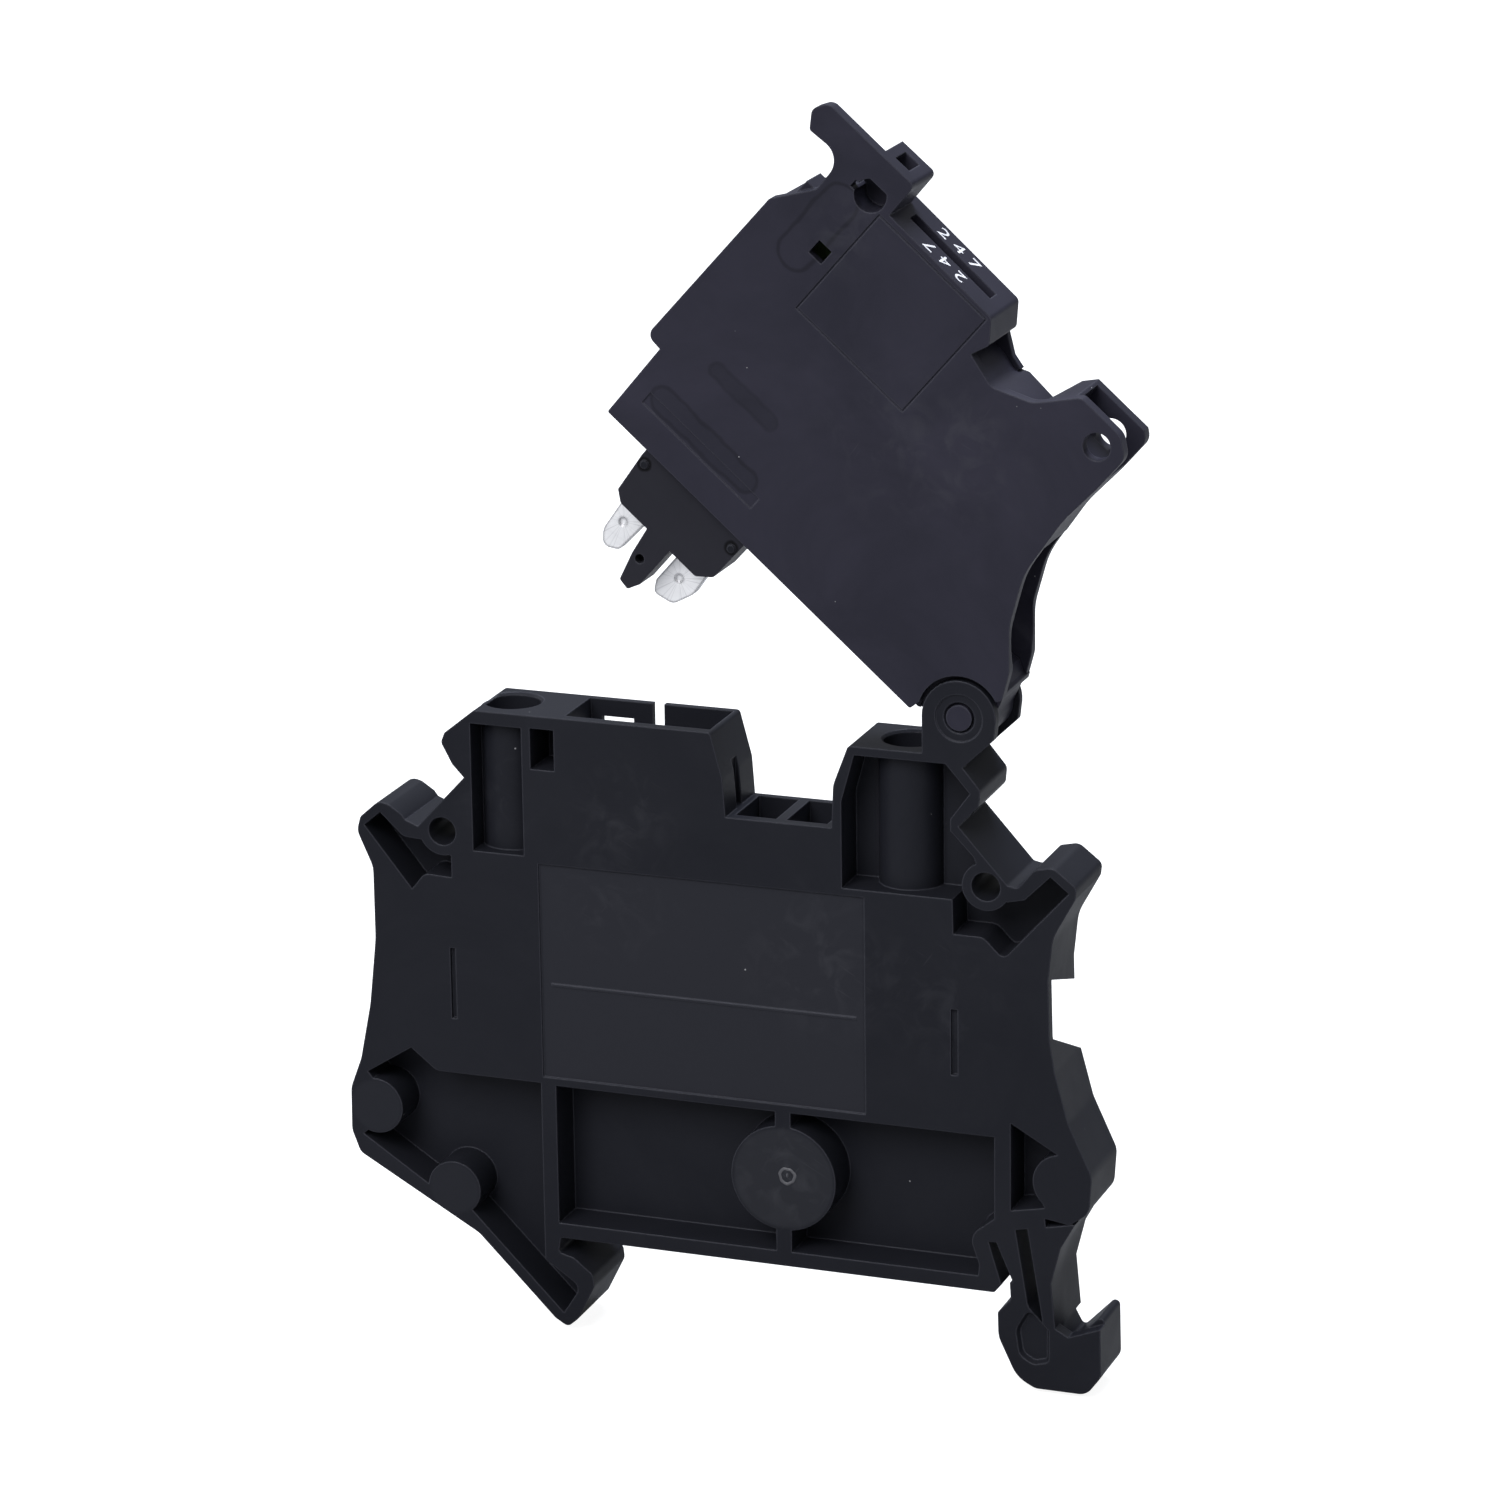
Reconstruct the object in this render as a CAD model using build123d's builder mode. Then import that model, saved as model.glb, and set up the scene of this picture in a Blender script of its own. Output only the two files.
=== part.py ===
from build123d import *
from math import cos, radians, sin, tan
import os

os.makedirs("parts", exist_ok=True)

# All lengths in millimetres. The origin is the middle of the rail seat at mid thickness.
# +X runs along the block to the hinge side, +Y runs from the closed face to the open face, +Z is up.

# Whole block
thickness = 6.2
half = thickness / 2
front_wall = 0.8
inner_face = front_wall - half
web_front = 0.1
web_back = 1.1
metal_y = 0.2

# Lever hinge
pivot_x = 13.6
pivot_z = 43.2
open_angle = 41.5
ear_radius = 2.75
ear_cut_radius = 3.1
hinge_pin_radius = 0.95
hinge_bore_gap = 0.06
back_ear_wall = 0.6
barrel_radius = 2.3
barrel_side_gap = 0.15

# Rail seat, foot and release leg
rail_left = -17.7
rail_right = 16.2
leg_back = 1.9

# Tower heights
tower_top = 40.4
bridge_top = 34.15
back_lip = 1.85
back_lip_wall = 0.5

# Clamps
left_clamp_x = -21.8
right_clamp_x = 9.0
sleeve_width_x = 6.0
sleeve_width_y = 4.6
sleeve_side = 0.8
sleeve_bottom_z = 16.8
sleeve_top_z = 26.0
sleeve_floor = 1.2
sleeve_roof = 1.6
sleeve_travel = 3.2
chamber_gap = 0.3
chamber_top = sleeve_top_z + sleeve_travel + chamber_gap
thread_radius = 1.5
thread_gap = 0.06
screw_head_radius = 1.85
screw_head_height = 2.2
screw_slot_width = 0.7
screw_slot_depth = 1.1
screw_bore_radius = 2.05
screw_tube_radius = 2.4

# Current bars
bar_top = 23.4
bar_thick = 1.0
bar_width = 2.3
bar_shelf = 27.4
bar_slot_gap = 0.05

# Plug blades and their forks
blade_thick = 0.8
fork_plate = 0.45
fork_gap = 0.05
fork_top = 35.6

# Lever plates and cavity, measured with the lever swung shut
lever_rim = 0.9
cover_thick = 0.8
cover_gap = 0.05
cover_inner = half - cover_thick

# Cartridge fuse
fuse_x = 0.0
fuse_z = 50.0
fuse_length = 20.0
cap_radius = 2.6
cap_length = 5.0
glass_radius = 2.4
glass_bore = 2.0
fuse_channel_radius = 2.65
fuse_left = fuse_x - fuse_length / 2
fuse_right = fuse_x + fuse_length / 2

# Places where the blades' contacts meet the caps
cap_contact_gap = 0.05
left_contact_x = fuse_left - 2 * cap_contact_gap
right_contact_x = fuse_right - 1.2
right_contact_z = fuse_z - cap_radius - cap_contact_gap

# Indicator board and its leads
board_thick = 0.8
board_y = 0.5
board_low = 57.52
board_right = -4.9
lead_thick = 0.3
lead_width = 1.0
left_lead_x = board_right - 3.1
right_lead_x = fuse_right - 2.4

# Room between the fuse's contacts and leads and the lever's ribs
rib_room = 0.4
contact_room = 0.15

front = Plane.XZ.offset(half)
back = Plane.XZ.offset(-half)


def at_depth(y):
    """Sketch plane facing the closed side, at the given depth."""
    return Plane.XZ.offset(-y)


def swung(x, z, y=0.0):
    """Point of the shut lever carried to where the open lever holds it."""
    turn = radians(open_angle)
    dx = x - pivot_x
    dz = z - pivot_z
    return (pivot_x + dx * cos(turn) + dz * sin(turn), y, pivot_z - dx * sin(turn) + dz * cos(turn))


lever_across = (cos(radians(open_angle)), 0, -sin(radians(open_angle)))


def lever_plane(y):
    """Sketch plane of the open lever, drawn in the shut lever's own x and z."""
    return Plane(origin=swung(0, 0, y), x_dir=lever_across, z_dir=(0, -1, 0))


def lever_section(x, z, y=0.0):
    """Plane square to the lever's long side, for round pieces lying along it."""
    return Plane(origin=swung(x, z, y), x_dir=(0, 1, 0), z_dir=lever_across)


def loop(*corners, mode=Mode.ADD):
    """Closed outline of straight runs, each corner given as x, z and an optional round."""
    runs = []
    count = len(corners)
    for i, corner in enumerate(corners):
        here = Vector(corner[0], corner[1])
        if len(corner) == 2:
            runs.append((here, here, here))
            continue
        to_last = (Vector(*corners[i - 1][:2]) - here).normalized()
        to_next = (Vector(*corners[(i + 1) % count][:2]) - here).normalized()
        half_angle = radians(to_last.get_angle(to_next) / 2)
        reach = corner[2] / tan(half_angle)
        bisector = (to_last + to_next).normalized()
        middle = here + bisector * (corner[2] / sin(half_angle) - corner[2])
        runs.append((here + to_last * reach, middle, here + to_next * reach))
    with BuildLine() as outline:
        for i, (start, middle, end) in enumerate(runs):
            if (start - end).length > 1e-5:
                ThreePointArc(start, middle, end)
            if (runs[(i + 1) % count][0] - end).length > 1e-5:
                Line(end, runs[(i + 1) % count][0])
    make_face(outline.edges(), mode=mode)


def rectangle(x_low, x_high, z_low, z_high):
    """Plain rectangle between two corners."""
    with Locations(((x_low + x_high) / 2, (z_low + z_high) / 2)):
        Rectangle(x_high - x_low, z_high - z_low)


# Outline of the base seen from the closed side
base_corners = (
    (rail_left, 0.0, 0.2),
    (-17.9, -1.2, 0.3),
    (-16.7, -1.5, 1.0),
    (-15.2, -2.7, 0.6),
    (-15.1, -3.6, 0.8),
    (-16.5, -6.4, 0.6),
    (-17.3, -7.1, 0.5),
    (-18.3, -6.5, 0.8),
    (-24.3, -0.45, 2.0),
    (-33.8, 4.9, 0.8),
    (-34.45, 6.6, 1.5),
    (-34.4, 10.0, 2.0),
    (-33.5, 12.4, 3.0),
    (-32.6, 16.8, 8.0),
    (-32.0, 22.0, 8.0),
    (-32.0, 27.6, 2.0),
    (-33.2, 30.3, 1.2),
    (-32.9, 31.4, 0.6),
    (-31.4, 32.75, 0.9),
    (-30.6, 32.55, 0.5),
    (-29.6, 31.9),
    (-29.3, 31.5),
    (-28.3, 31.1),
    (-24.5, 35.2),
    (-25.4, 36.15, 0.3),
    (-26.25, 37.75, 0.5),
    (-25.95, 38.5, 0.3),
    (-23.6, tower_top, 0.3),
    (-5.2, tower_top, 0.3),
    (-4.3, 37.0, 2.0),
    (-4.1, bridge_top),
    (4.0, bridge_top),
    (4.15, 37.4, 2.0),
    (5.3, tower_top, 0.3),
    (13.0, tower_top),
    (13.95, 39.5),
    (15.2, 38.0, 0.6),
    (15.1, 36.85, 0.6),
    (13.55, 35.2),
    (17.2, 31.15, 0.3),
    (17.95, 31.0, 0.4),
    (19.2, 32.5, 0.5),
    (20.6, 32.8, 0.8),
    (22.35, 31.45, 0.6),
    (22.25, 30.6, 0.5),
    (20.6, 27.6, 3.0),
    (20.25, 24.3),
    (20.35, 19.9, 1.0),
    (20.75, 17.4, 4.0),
    (21.75, 13.7, 3.0),
    (23.55, 9.8, 1.5),
    (23.35, 7.0, 1.3),
    (21.9, 5.9, 0.6),
    (20.0, 6.2),
    (18.2, 5.4),
    (16.6, 4.4),
    (17.3, 1.35, 0.1),
    (rail_right, 0.0, 0.3),
)

# Release leg, one moulding with the base
leg_corners = (
    (16.5, 4.6),
    (17.35, 1.2, 1.5),
    (17.45, -0.4, 0.4),
    (16.45, -1.5, 0.4),
    (16.5, -3.4, 2.0),
    (17.9, -6.4, 2.5),
    (19.3, -7.1, 1.0),
    (23.2, -7.1, 1.2),
    (24.3, -5.6, 1.0),
    (24.2, -1.0, 0.35),
    (21.5, -3.8, 0.3),
    (20.85, -2.6, 0.8),
    (20.5, 1.2, 3.0),
    (20.0, 6.4),
)
leg_slot_corners = (
    (17.8, 5.05),
    (18.75, -0.75, 1.0),
    (19.9, -2.15),
    (19.65, -0.5),
    (18.7, 5.25),
)
# Strip that carries the leg, as deep as the base
leg_strip_corners = (
    (18.7, 5.25),
    (19.65, -0.5),
    (19.9, -2.15),
    (20.85, -2.6),
    (20.5, 1.2),
    (21.2, 4.0),
    (22.3, 6.0),
)
# Soft hollow for the thumb low on the leg
thumb_corners = (
    (18.8, -0.9, 0.5),
    (17.8, -2.7, 1.2),
    (18.1, -4.7, 1.0),
    (19.2, -5.3, 0.7),
    (20.35, -4.95, 0.4),
    (20.35, -2.45, 0.3),
)

# Open pockets of the lower part, between its ribs
pocket_left_corners = (
    (-29.4, 13.7),
    (-33.0, 11.4),
    (-30.8, 8.8),
    (-33.5, 6.4),
    (-28.3, 3.0),
    (-26.4, 3.0),
    (-24.8, 1.3),
    (-17.6, -6.0),
    (-16.2, -3.8, 0.7),
    (-19.0, -1.9),
    (-19.0, 12.1),
    (-27.4, 12.1, 1.0),
)
pocket_middle_corners = (
    (-17.8, 1.15),
    (-17.8, 12.0),
    (16.2, 12.0),
    (16.2, 5.7),
    (14.3, 4.2, 1.2),
    (15.05, 2.0, 0.8),
    (14.95, 1.15),
)
pocket_right_corners = (
    (17.45, 13.2),
    (20.95, 11.2),
    (19.3, 9.8),
    (19.5, 8.0),
    (20.0, 7.0),
    (17.45, 6.5),
)
ear_pocket_corners = (
    (-31.3, 31.9),
    (-32.6, 30.8),
    (-28.9, 26.2),
    (-27.9, 27.5, 0.8),
    (-25.7, 27.4),
    (-25.7, 29.05),
    (-26.6, 29.6),
    (-28.0, 30.1),
    (-29.5, 30.2, 0.8),
)
hinge_recess_corners = (
    (4.75, 36.2, 1.0),
    (5.75, 39.75),
    (12.6, 39.75),
    (14.4, 37.7),
    (12.95, 35.7),
    (12.95, 34.8),
    (14.7, 33.0),
    (15.4, 31.0),
    (17.2, 29.9),
    (18.5, 30.2),
    (20.4, 32.1),
    (21.75, 31.0),
    (16.9, 25.6, 0.5),
    (15.4, 27.1, 1.0),
    (13.15, 27.1),
    (13.1, 29.7),
    (4.75, 29.7),
)


def lower_pockets():
    """The three pockets of the lower part as one sketch."""
    loop(*pocket_middle_corners)
    with Locations((0.0, 6.85)):
        Circle(4.05, mode=Mode.SUBTRACT)
    with Locations((0.0, 6.85)):
        Rectangle(1.2, 12.0, mode=Mode.SUBTRACT)
    loop(*pocket_left_corners)
    with Locations((-32.4, 8.75)):
        Circle(2.15, mode=Mode.SUBTRACT)
    with Locations((-26.2, 2.9)):
        Circle(2.1, mode=Mode.SUBTRACT)
    loop(*pocket_right_corners)
    with Locations((21.3, 9.0)):
        Circle(2.2, mode=Mode.SUBTRACT)


def hinge_ear():
    """Round ear with the foot that joins it to the tower."""
    loop(
        (10.85, tower_top - 1.0),
        (10.85, pivot_z),
        (pivot_x + ear_radius, pivot_z),
        (16.2, 41.8, 0.4),
        (13.7, 39.4),
    )
    with Locations((pivot_x, pivot_z)):
        Circle(ear_radius)


def shaft_outline(top):
    """Blade shaft of the left tower, wide enough for the swing of the plug."""
    loop((-16.75, top), (-16.5, 36.0), (-16.5, bar_shelf - 1.3), (-4.95, bar_shelf - 1.3), (-4.95, 37.0), (-5.65, top))


# Base: one moulding, closed at the front and open at the back
with BuildPart() as housing:
    with BuildSketch(front):
        loop(*base_corners)
    extrude(amount=-thickness)
    with BuildSketch(front):
        loop(*leg_corners)
    extrude(amount=-(leg_back + half))
    with BuildSketch(front):
        loop(*leg_strip_corners)
    extrude(amount=-thickness)
    # the hook is blunter at the front
    with BuildSketch(front):
        loop((22.7, -2.45), (24.6, -1.75), (24.6, 0.0), (22.7, 0.0))
    extrude(amount=-1.1, mode=Mode.SUBTRACT)
    with BuildSketch(front):
        loop((20.7, -2.2), (21.8, -2.8), (22.9, -2.4), (21.5, -4.2))
    extrude(amount=-1.1)
    # hinge ears either side of the lever barrel
    with BuildSketch(front):
        hinge_ear()
    extrude(amount=-front_wall)
    with BuildSketch(back):
        hinge_ear()
    extrude(amount=back_ear_wall)
    with BuildSketch(front):
        with Locations((pivot_x, pivot_z)):
            Circle(hinge_pin_radius + hinge_bore_gap)
    extrude(amount=-thickness, mode=Mode.SUBTRACT)
    with BuildSketch(front):
        with Locations((pivot_x, pivot_z)):
            Circle(1.75)
    extrude(amount=-0.12, mode=Mode.SUBTRACT)
    with BuildSketch(at_depth(0.12 - half)):
        with Locations((pivot_x, pivot_z)):
            Circle(hinge_pin_radius + 0.22)
    extrude(amount=-0.2, taper=35, mode=Mode.SUBTRACT)
    # slots that make the leg springy
    with BuildSketch(front):
        loop(*leg_slot_corners)
        loop((15.75, 3.9), (16.35, 3.9), (17.6, 1.0), (16.75, 0.6))
    extrude(amount=-thickness, mode=Mode.SUBTRACT)
    with BuildSketch(front):
        loop(*thumb_corners)
    extrude(amount=-0.4, taper=30, mode=Mode.SUBTRACT)
    # pockets of the lower part, in front of and behind one web
    with BuildSketch(front):
        lower_pockets()
    extrude(amount=-(web_front + half), mode=Mode.SUBTRACT)
    with BuildSketch(back):
        lower_pockets()
    extrude(amount=half - web_back, mode=Mode.SUBTRACT)
    # ear pocket on the entry side and the recess round the hinge side screw tube
    with BuildSketch(front):
        loop(*ear_pocket_corners)
        with Locations((-26.35, 30.9)):
            Circle(1.85, mode=Mode.SUBTRACT)
    extrude(amount=-(web_front + half), mode=Mode.SUBTRACT)
    with BuildSketch(front):
        loop(*hinge_recess_corners)
        with Locations((15.6, 30.9)):
            Circle(1.8, mode=Mode.SUBTRACT)
    extrude(amount=-(web_front + half), mode=Mode.SUBTRACT)
    with BuildSketch(back):
        loop(*hinge_recess_corners)
        with Locations((15.6, 30.9)):
            Circle(1.8, mode=Mode.SUBTRACT)
    extrude(amount=half - web_back, mode=Mode.SUBTRACT)
    # groove that bares the left screw tube, and its twin behind
    with BuildSketch(front):
        rectangle(-23.9, -19.9, 29.65, 39.4)
    extrude(amount=-2.3, mode=Mode.SUBTRACT)
    with BuildSketch(back):
        rectangle(-23.9, -19.9, 29.65, 39.2)
    extrude(amount=1.6, mode=Mode.SUBTRACT)
    # small square pocket beside the groove
    with BuildSketch(front):
        rectangle(-19.2, -17.35, 36.35, 39.45)
    extrude(amount=-3.6, mode=Mode.SUBTRACT)
    # cavities entered from the open back
    with BuildSketch(back):
        for clamp_x in (left_clamp_x, right_clamp_x):
            reach = sleeve_width_x / 2 + chamber_gap
            rectangle(clamp_x - reach, clamp_x + reach, sleeve_bottom_z - 0.4, chamber_top)
        # conductor ways, flared to the outside
        loop((-33.5, 17.6), (-33.5, 24.4), (-30.0, 23.6), (-25.0, 22.2), (-25.0, 18.0), (-30.0, 18.0))
        rectangle(12.2, 18.8, 18.0, 22.2)
        # room under the label field
        rectangle(-17.6, -10.8, 13.9, 21.2)
        rectangle(-9.8, -3.0, 13.9, 21.2)
        rectangle(-2.0, 4.7, 13.9, 21.2)
        rectangle(13.4, 18.6, 13.9, 16.6)
        rectangle(-30.6, -26.2, 13.9, 16.6)
    extrude(amount=thickness - front_wall, mode=Mode.SUBTRACT)
    # mouth of the hinge side conductor way, its floor and roof falling to the back
    with BuildSketch(Plane.YZ.offset(18.6)):
        loop((inner_face, 24.15), (inner_face, 19.7), (half + 0.2, 17.15), (half + 0.2, 22.4))
    extrude(amount=5.0, mode=Mode.SUBTRACT)
    # blade shaft: open at the top, with a thin lip left along its back edge
    with BuildSketch(at_depth(half - back_lip_wall)):
        shaft_outline(tower_top + 1.0)
    extrude(amount=thickness - front_wall - back_lip_wall, mode=Mode.SUBTRACT)
    with BuildSketch(back):
        shaft_outline(tower_top - back_lip)
    extrude(amount=thickness - front_wall, mode=Mode.SUBTRACT)
    with BuildSketch(back):
        rectangle(-11.8, -10.9, tower_top - back_lip - 0.1, tower_top + 1.0)
        rectangle(-15.8, -13.3, tower_top - back_lip - 0.1, 39.1)
        rectangle(-6.5, -5.8, tower_top - back_lip - 0.1, 39.1)
    extrude(amount=back_lip_wall, mode=Mode.SUBTRACT)
    # bridge wells with a rib between them, open down to the bar
    with BuildSketch(at_depth(half - back_lip_wall)):
        rectangle(-3.6, -0.5, bar_top, bridge_top + 1.0)
        rectangle(0.3, 3.4, bar_top, bridge_top + 1.0)
    extrude(amount=thickness - front_wall - back_lip_wall, mode=Mode.SUBTRACT)
    with BuildSketch(back):
        rectangle(-3.6, -0.5, bar_top + 1.2, bridge_top - 2.5)
        rectangle(0.3, 3.4, bar_top + 1.2, bridge_top - 2.5)
    extrude(amount=back_lip_wall, mode=Mode.SUBTRACT)
    # slots that seat the two bars in the ribs
    with BuildSketch(back):
        rectangle(-26.3, -16.0, bar_top - bar_thick - bar_slot_gap, bar_top + bar_slot_gap)
        rectangle(-17.1 - bar_slot_gap, -16.1 + bar_slot_gap, bar_top - bar_thick, bar_shelf + bar_slot_gap)
        rectangle(-5.75, 13.5, bar_top - bar_thick - bar_slot_gap, bar_top + bar_slot_gap)
        rectangle(-5.65 - bar_slot_gap, -4.65 + bar_slot_gap, bar_top - bar_thick, bar_shelf + bar_slot_gap)
    extrude(amount=half - metal_y + bar_width / 2 + bar_slot_gap, mode=Mode.SUBTRACT)
    # insulating rib between the two forks
    with BuildSketch(at_depth(half - back_lip_wall)):
        rectangle(-11.45, -10.35, bar_shelf - 1.5, 31.2)
    extrude(amount=thickness - front_wall - back_lip_wall)
    # shelves that the bar ends lie on
    with BuildSketch(at_depth(half - back_lip_wall)):
        rectangle(-16.1, -11.4, bar_shelf - 1.5, bar_shelf - bar_thick)
        rectangle(-10.4, -5.65, bar_shelf - 1.5, bar_shelf - bar_thick)
    extrude(amount=thickness - front_wall - back_lip_wall)
    # screw tubes standing in the groove and the recess
    with BuildSketch(Plane.XY.offset(29.5)):
        with Locations((left_clamp_x, metal_y), (right_clamp_x, metal_y)):
            Circle(screw_tube_radius)
    extrude(amount=10.5)
    with BuildSketch(Plane.XY.offset(chamber_top - 0.1)):
        with Locations((left_clamp_x, metal_y), (right_clamp_x, metal_y)):
            Circle(screw_bore_radius)
    extrude(amount=tower_top - chamber_top + 0.2, mode=Mode.SUBTRACT)
    chamfer(
        housing.edges().filter_by(GeomType.CIRCLE).filter_by_position(Axis.Z, tower_top - 0.02, tower_top + 0.02)
        .filter_by(lambda edge: abs(edge.radius - screw_bore_radius) < 0.01),
        0.2,
    )
    # round holes of the two shoulders
    with BuildSketch(front):
        with Locations((-26.35, 30.9), (15.6, 30.9)):
            Circle(1.07)
    extrude(amount=-thickness, mode=Mode.SUBTRACT)
    # sunk label field and its dividing ridge
    with BuildSketch(front):
        rectangle(-18.8, 6.4, 12.6, 29.15)
    extrude(amount=-0.15, mode=Mode.SUBTRACT)
    with BuildSketch(at_depth(0.15 - half)):
        rectangle(-18.0, 5.7, 19.75, 19.95)
    extrude(amount=0.08)
    # short upright grooves beside the field
    with BuildSketch(front):
        rectangle(-26.0, -25.6, 16.4, 21.9)
        rectangle(12.95, 13.45, 16.4, 21.4)
    extrude(amount=-0.3, mode=Mode.SUBTRACT)
    # upright groove in the tower flank above the bridge
    with BuildSketch(Plane.XY.offset(bridge_top)):
        with Locations((-4.15, -0.2)):
            Rectangle(0.9, 1.1)
    extrude(amount=3.6, mode=Mode.SUBTRACT)

housing.part.label = "housing"
export_step(housing.part, "parts/housing.step")

# Current bars, bent from flat stock, with a raised end that carries the fork
bar_base = bar_top - bar_thick
with BuildPart() as busbar_left:
    with BuildSketch(at_depth(metal_y - bar_width / 2)):
        loop(
            (-26.2, bar_base),
            (-16.1, bar_base, 0.3),
            (-16.1, bar_shelf - bar_thick),
            (-11.9, bar_shelf - bar_thick),
            (-11.9, bar_shelf),
            (-17.1, bar_shelf, 0.3),
            (-17.1, bar_top),
            (-26.2, bar_top),
        )
    extrude(amount=-bar_width)
busbar_left.part.label = "busbar_left"
export_step(busbar_left.part, "parts/busbar_left.step")

with BuildPart() as busbar_right:
    with BuildSketch(at_depth(metal_y - bar_width / 2)):
        loop(
            (13.4, bar_base),
            (-5.65, bar_base, 0.3),
            (-5.65, bar_shelf - bar_thick),
            (-10.1, bar_shelf - bar_thick),
            (-10.1, bar_shelf),
            (-4.65, bar_shelf, 0.3),
            (-4.65, bar_top),
            (13.4, bar_top),
        )
    extrude(amount=-bar_width)
busbar_right.part.label = "busbar_right"
export_step(busbar_right.part, "parts/busbar_right.step")

# Spring forks that take the plug blades, standing on the bar ends
fork_grip = blade_thick / 2 + fork_gap
fork_grip_z = 34.2
fork_foot = bar_width / 2


def fork_profile():
    """Section of a fork across the block, lips flared to lead the blade in."""
    loop(
        (metal_y - fork_foot, bar_shelf),
        (metal_y + fork_foot, bar_shelf),
        (metal_y + fork_foot, bar_shelf + 0.8),
        (metal_y + fork_grip + fork_plate, fork_grip_z, 1.0),
        (metal_y + fork_foot, fork_top),
        (metal_y + fork_foot - fork_plate, fork_top),
        (metal_y + fork_grip, fork_grip_z, 0.6),
        (metal_y + fork_foot - fork_plate, bar_shelf + fork_plate, 0.2),
        (metal_y - fork_foot + fork_plate, bar_shelf + fork_plate, 0.2),
        (metal_y - fork_grip, fork_grip_z, 0.6),
        (metal_y - fork_foot + fork_plate, fork_top),
        (metal_y - fork_foot, fork_top),
        (metal_y - fork_grip - fork_plate, fork_grip_z, 1.0),
        (metal_y - fork_foot, bar_shelf + 0.8),
    )


with BuildPart() as fork_left:
    with BuildSketch(Plane.YZ.offset(-15.1)):
        fork_profile()
    extrude(amount=2.3)
fork_left.part.label = "fork_left"
export_step(fork_left.part, "parts/fork_left.step")

with BuildPart() as fork_right:
    with BuildSketch(Plane.YZ.offset(-9.2)):
        fork_profile()
    extrude(amount=2.4)
fork_right.part.label = "fork_right"
export_step(fork_right.part, "parts/fork_right.step")


def sleeve_profile():
    """Square loop of a clamp sleeve, seen along the conductor."""
    with Locations((metal_y, (sleeve_bottom_z + sleeve_top_z) / 2)):
        RectangleRounded(sleeve_width_y, sleeve_top_z - sleeve_bottom_z, 0.4)
    hole_height = sleeve_top_z - sleeve_roof - sleeve_bottom_z - sleeve_floor
    with Locations((metal_y, sleeve_bottom_z + sleeve_floor + hole_height / 2)):
        Rectangle(sleeve_width_y - 2 * sleeve_side, hole_height, mode=Mode.SUBTRACT)


# Clamp sleeves: closed loops that rise on their screws and pull the conductor up to the bar
with BuildPart() as clamp_sleeve_left:
    with BuildSketch(Plane.YZ.offset(left_clamp_x - sleeve_width_x / 2)):
        sleeve_profile()
    extrude(amount=sleeve_width_x)
    with BuildSketch(Plane.XY.offset(sleeve_top_z)):
        with Locations((left_clamp_x, metal_y)):
            Circle(thread_radius + thread_gap)
    extrude(amount=-sleeve_roof - 0.2, mode=Mode.SUBTRACT)
clamp_sleeve_left.part.label = "clamp_sleeve_left"
export_step(clamp_sleeve_left.part, "parts/clamp_sleeve_left.step")

with BuildPart() as clamp_sleeve_right:
    with BuildSketch(Plane.YZ.offset(right_clamp_x - sleeve_width_x / 2)):
        sleeve_profile()
    extrude(amount=sleeve_width_x)
    with BuildSketch(Plane.XY.offset(sleeve_top_z)):
        with Locations((right_clamp_x, metal_y)):
            Circle(thread_radius + thread_gap)
    extrude(amount=-sleeve_roof - 0.2, mode=Mode.SUBTRACT)
clamp_sleeve_right.part.label = "clamp_sleeve_right"
export_step(clamp_sleeve_right.part, "parts/clamp_sleeve_right.step")

# Slotted clamp screws, tip on the bar and head down in the tube
screw_tip_z = bar_top + 0.02
head_base_z = chamber_top + 0.2


def screw_section():
    """Half section of a clamp screw from its axis outwards."""
    loop(
        (0, screw_tip_z),
        (thread_radius - 0.4, screw_tip_z),
        (thread_radius, screw_tip_z + 0.4),
        (thread_radius, head_base_z),
        (screw_head_radius, head_base_z),
        (screw_head_radius, head_base_z + screw_head_height - 0.2),
        (screw_head_radius - 0.2, head_base_z + screw_head_height),
        (0, head_base_z + screw_head_height),
    )


with BuildPart() as clamp_screw_left:
    with BuildSketch(Plane(origin=(left_clamp_x, metal_y, 0), x_dir=(1, 0, 0), z_dir=(0, -1, 0))):
        screw_section()
    revolve(axis=Axis((left_clamp_x, metal_y, 0), (0, 0, 1)))
    with BuildSketch(Plane.XY.offset(head_base_z + screw_head_height)):
        with Locations((left_clamp_x, metal_y)):
            Rectangle(2 * screw_head_radius + 1, screw_slot_width)
    extrude(amount=-screw_slot_depth, mode=Mode.SUBTRACT)
clamp_screw_left.part.label = "clamp_screw_left"
export_step(clamp_screw_left.part, "parts/clamp_screw_left.step")

with BuildPart() as clamp_screw_right:
    with BuildSketch(Plane(origin=(right_clamp_x, metal_y, 0), x_dir=(1, 0, 0), z_dir=(0, -1, 0))):
        screw_section()
    revolve(axis=Axis((right_clamp_x, metal_y, 0), (0, 0, 1)))
    with BuildSketch(Plane.XY.offset(head_base_z + screw_head_height)):
        with Locations((right_clamp_x, metal_y)):
            Rectangle(screw_slot_width, 2 * screw_head_radius + 1)
    extrude(amount=-screw_slot_depth, mode=Mode.SUBTRACT)
clamp_screw_right.part.label = "clamp_screw_right"
export_step(clamp_screw_right.part, "parts/clamp_screw_right.step")

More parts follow.
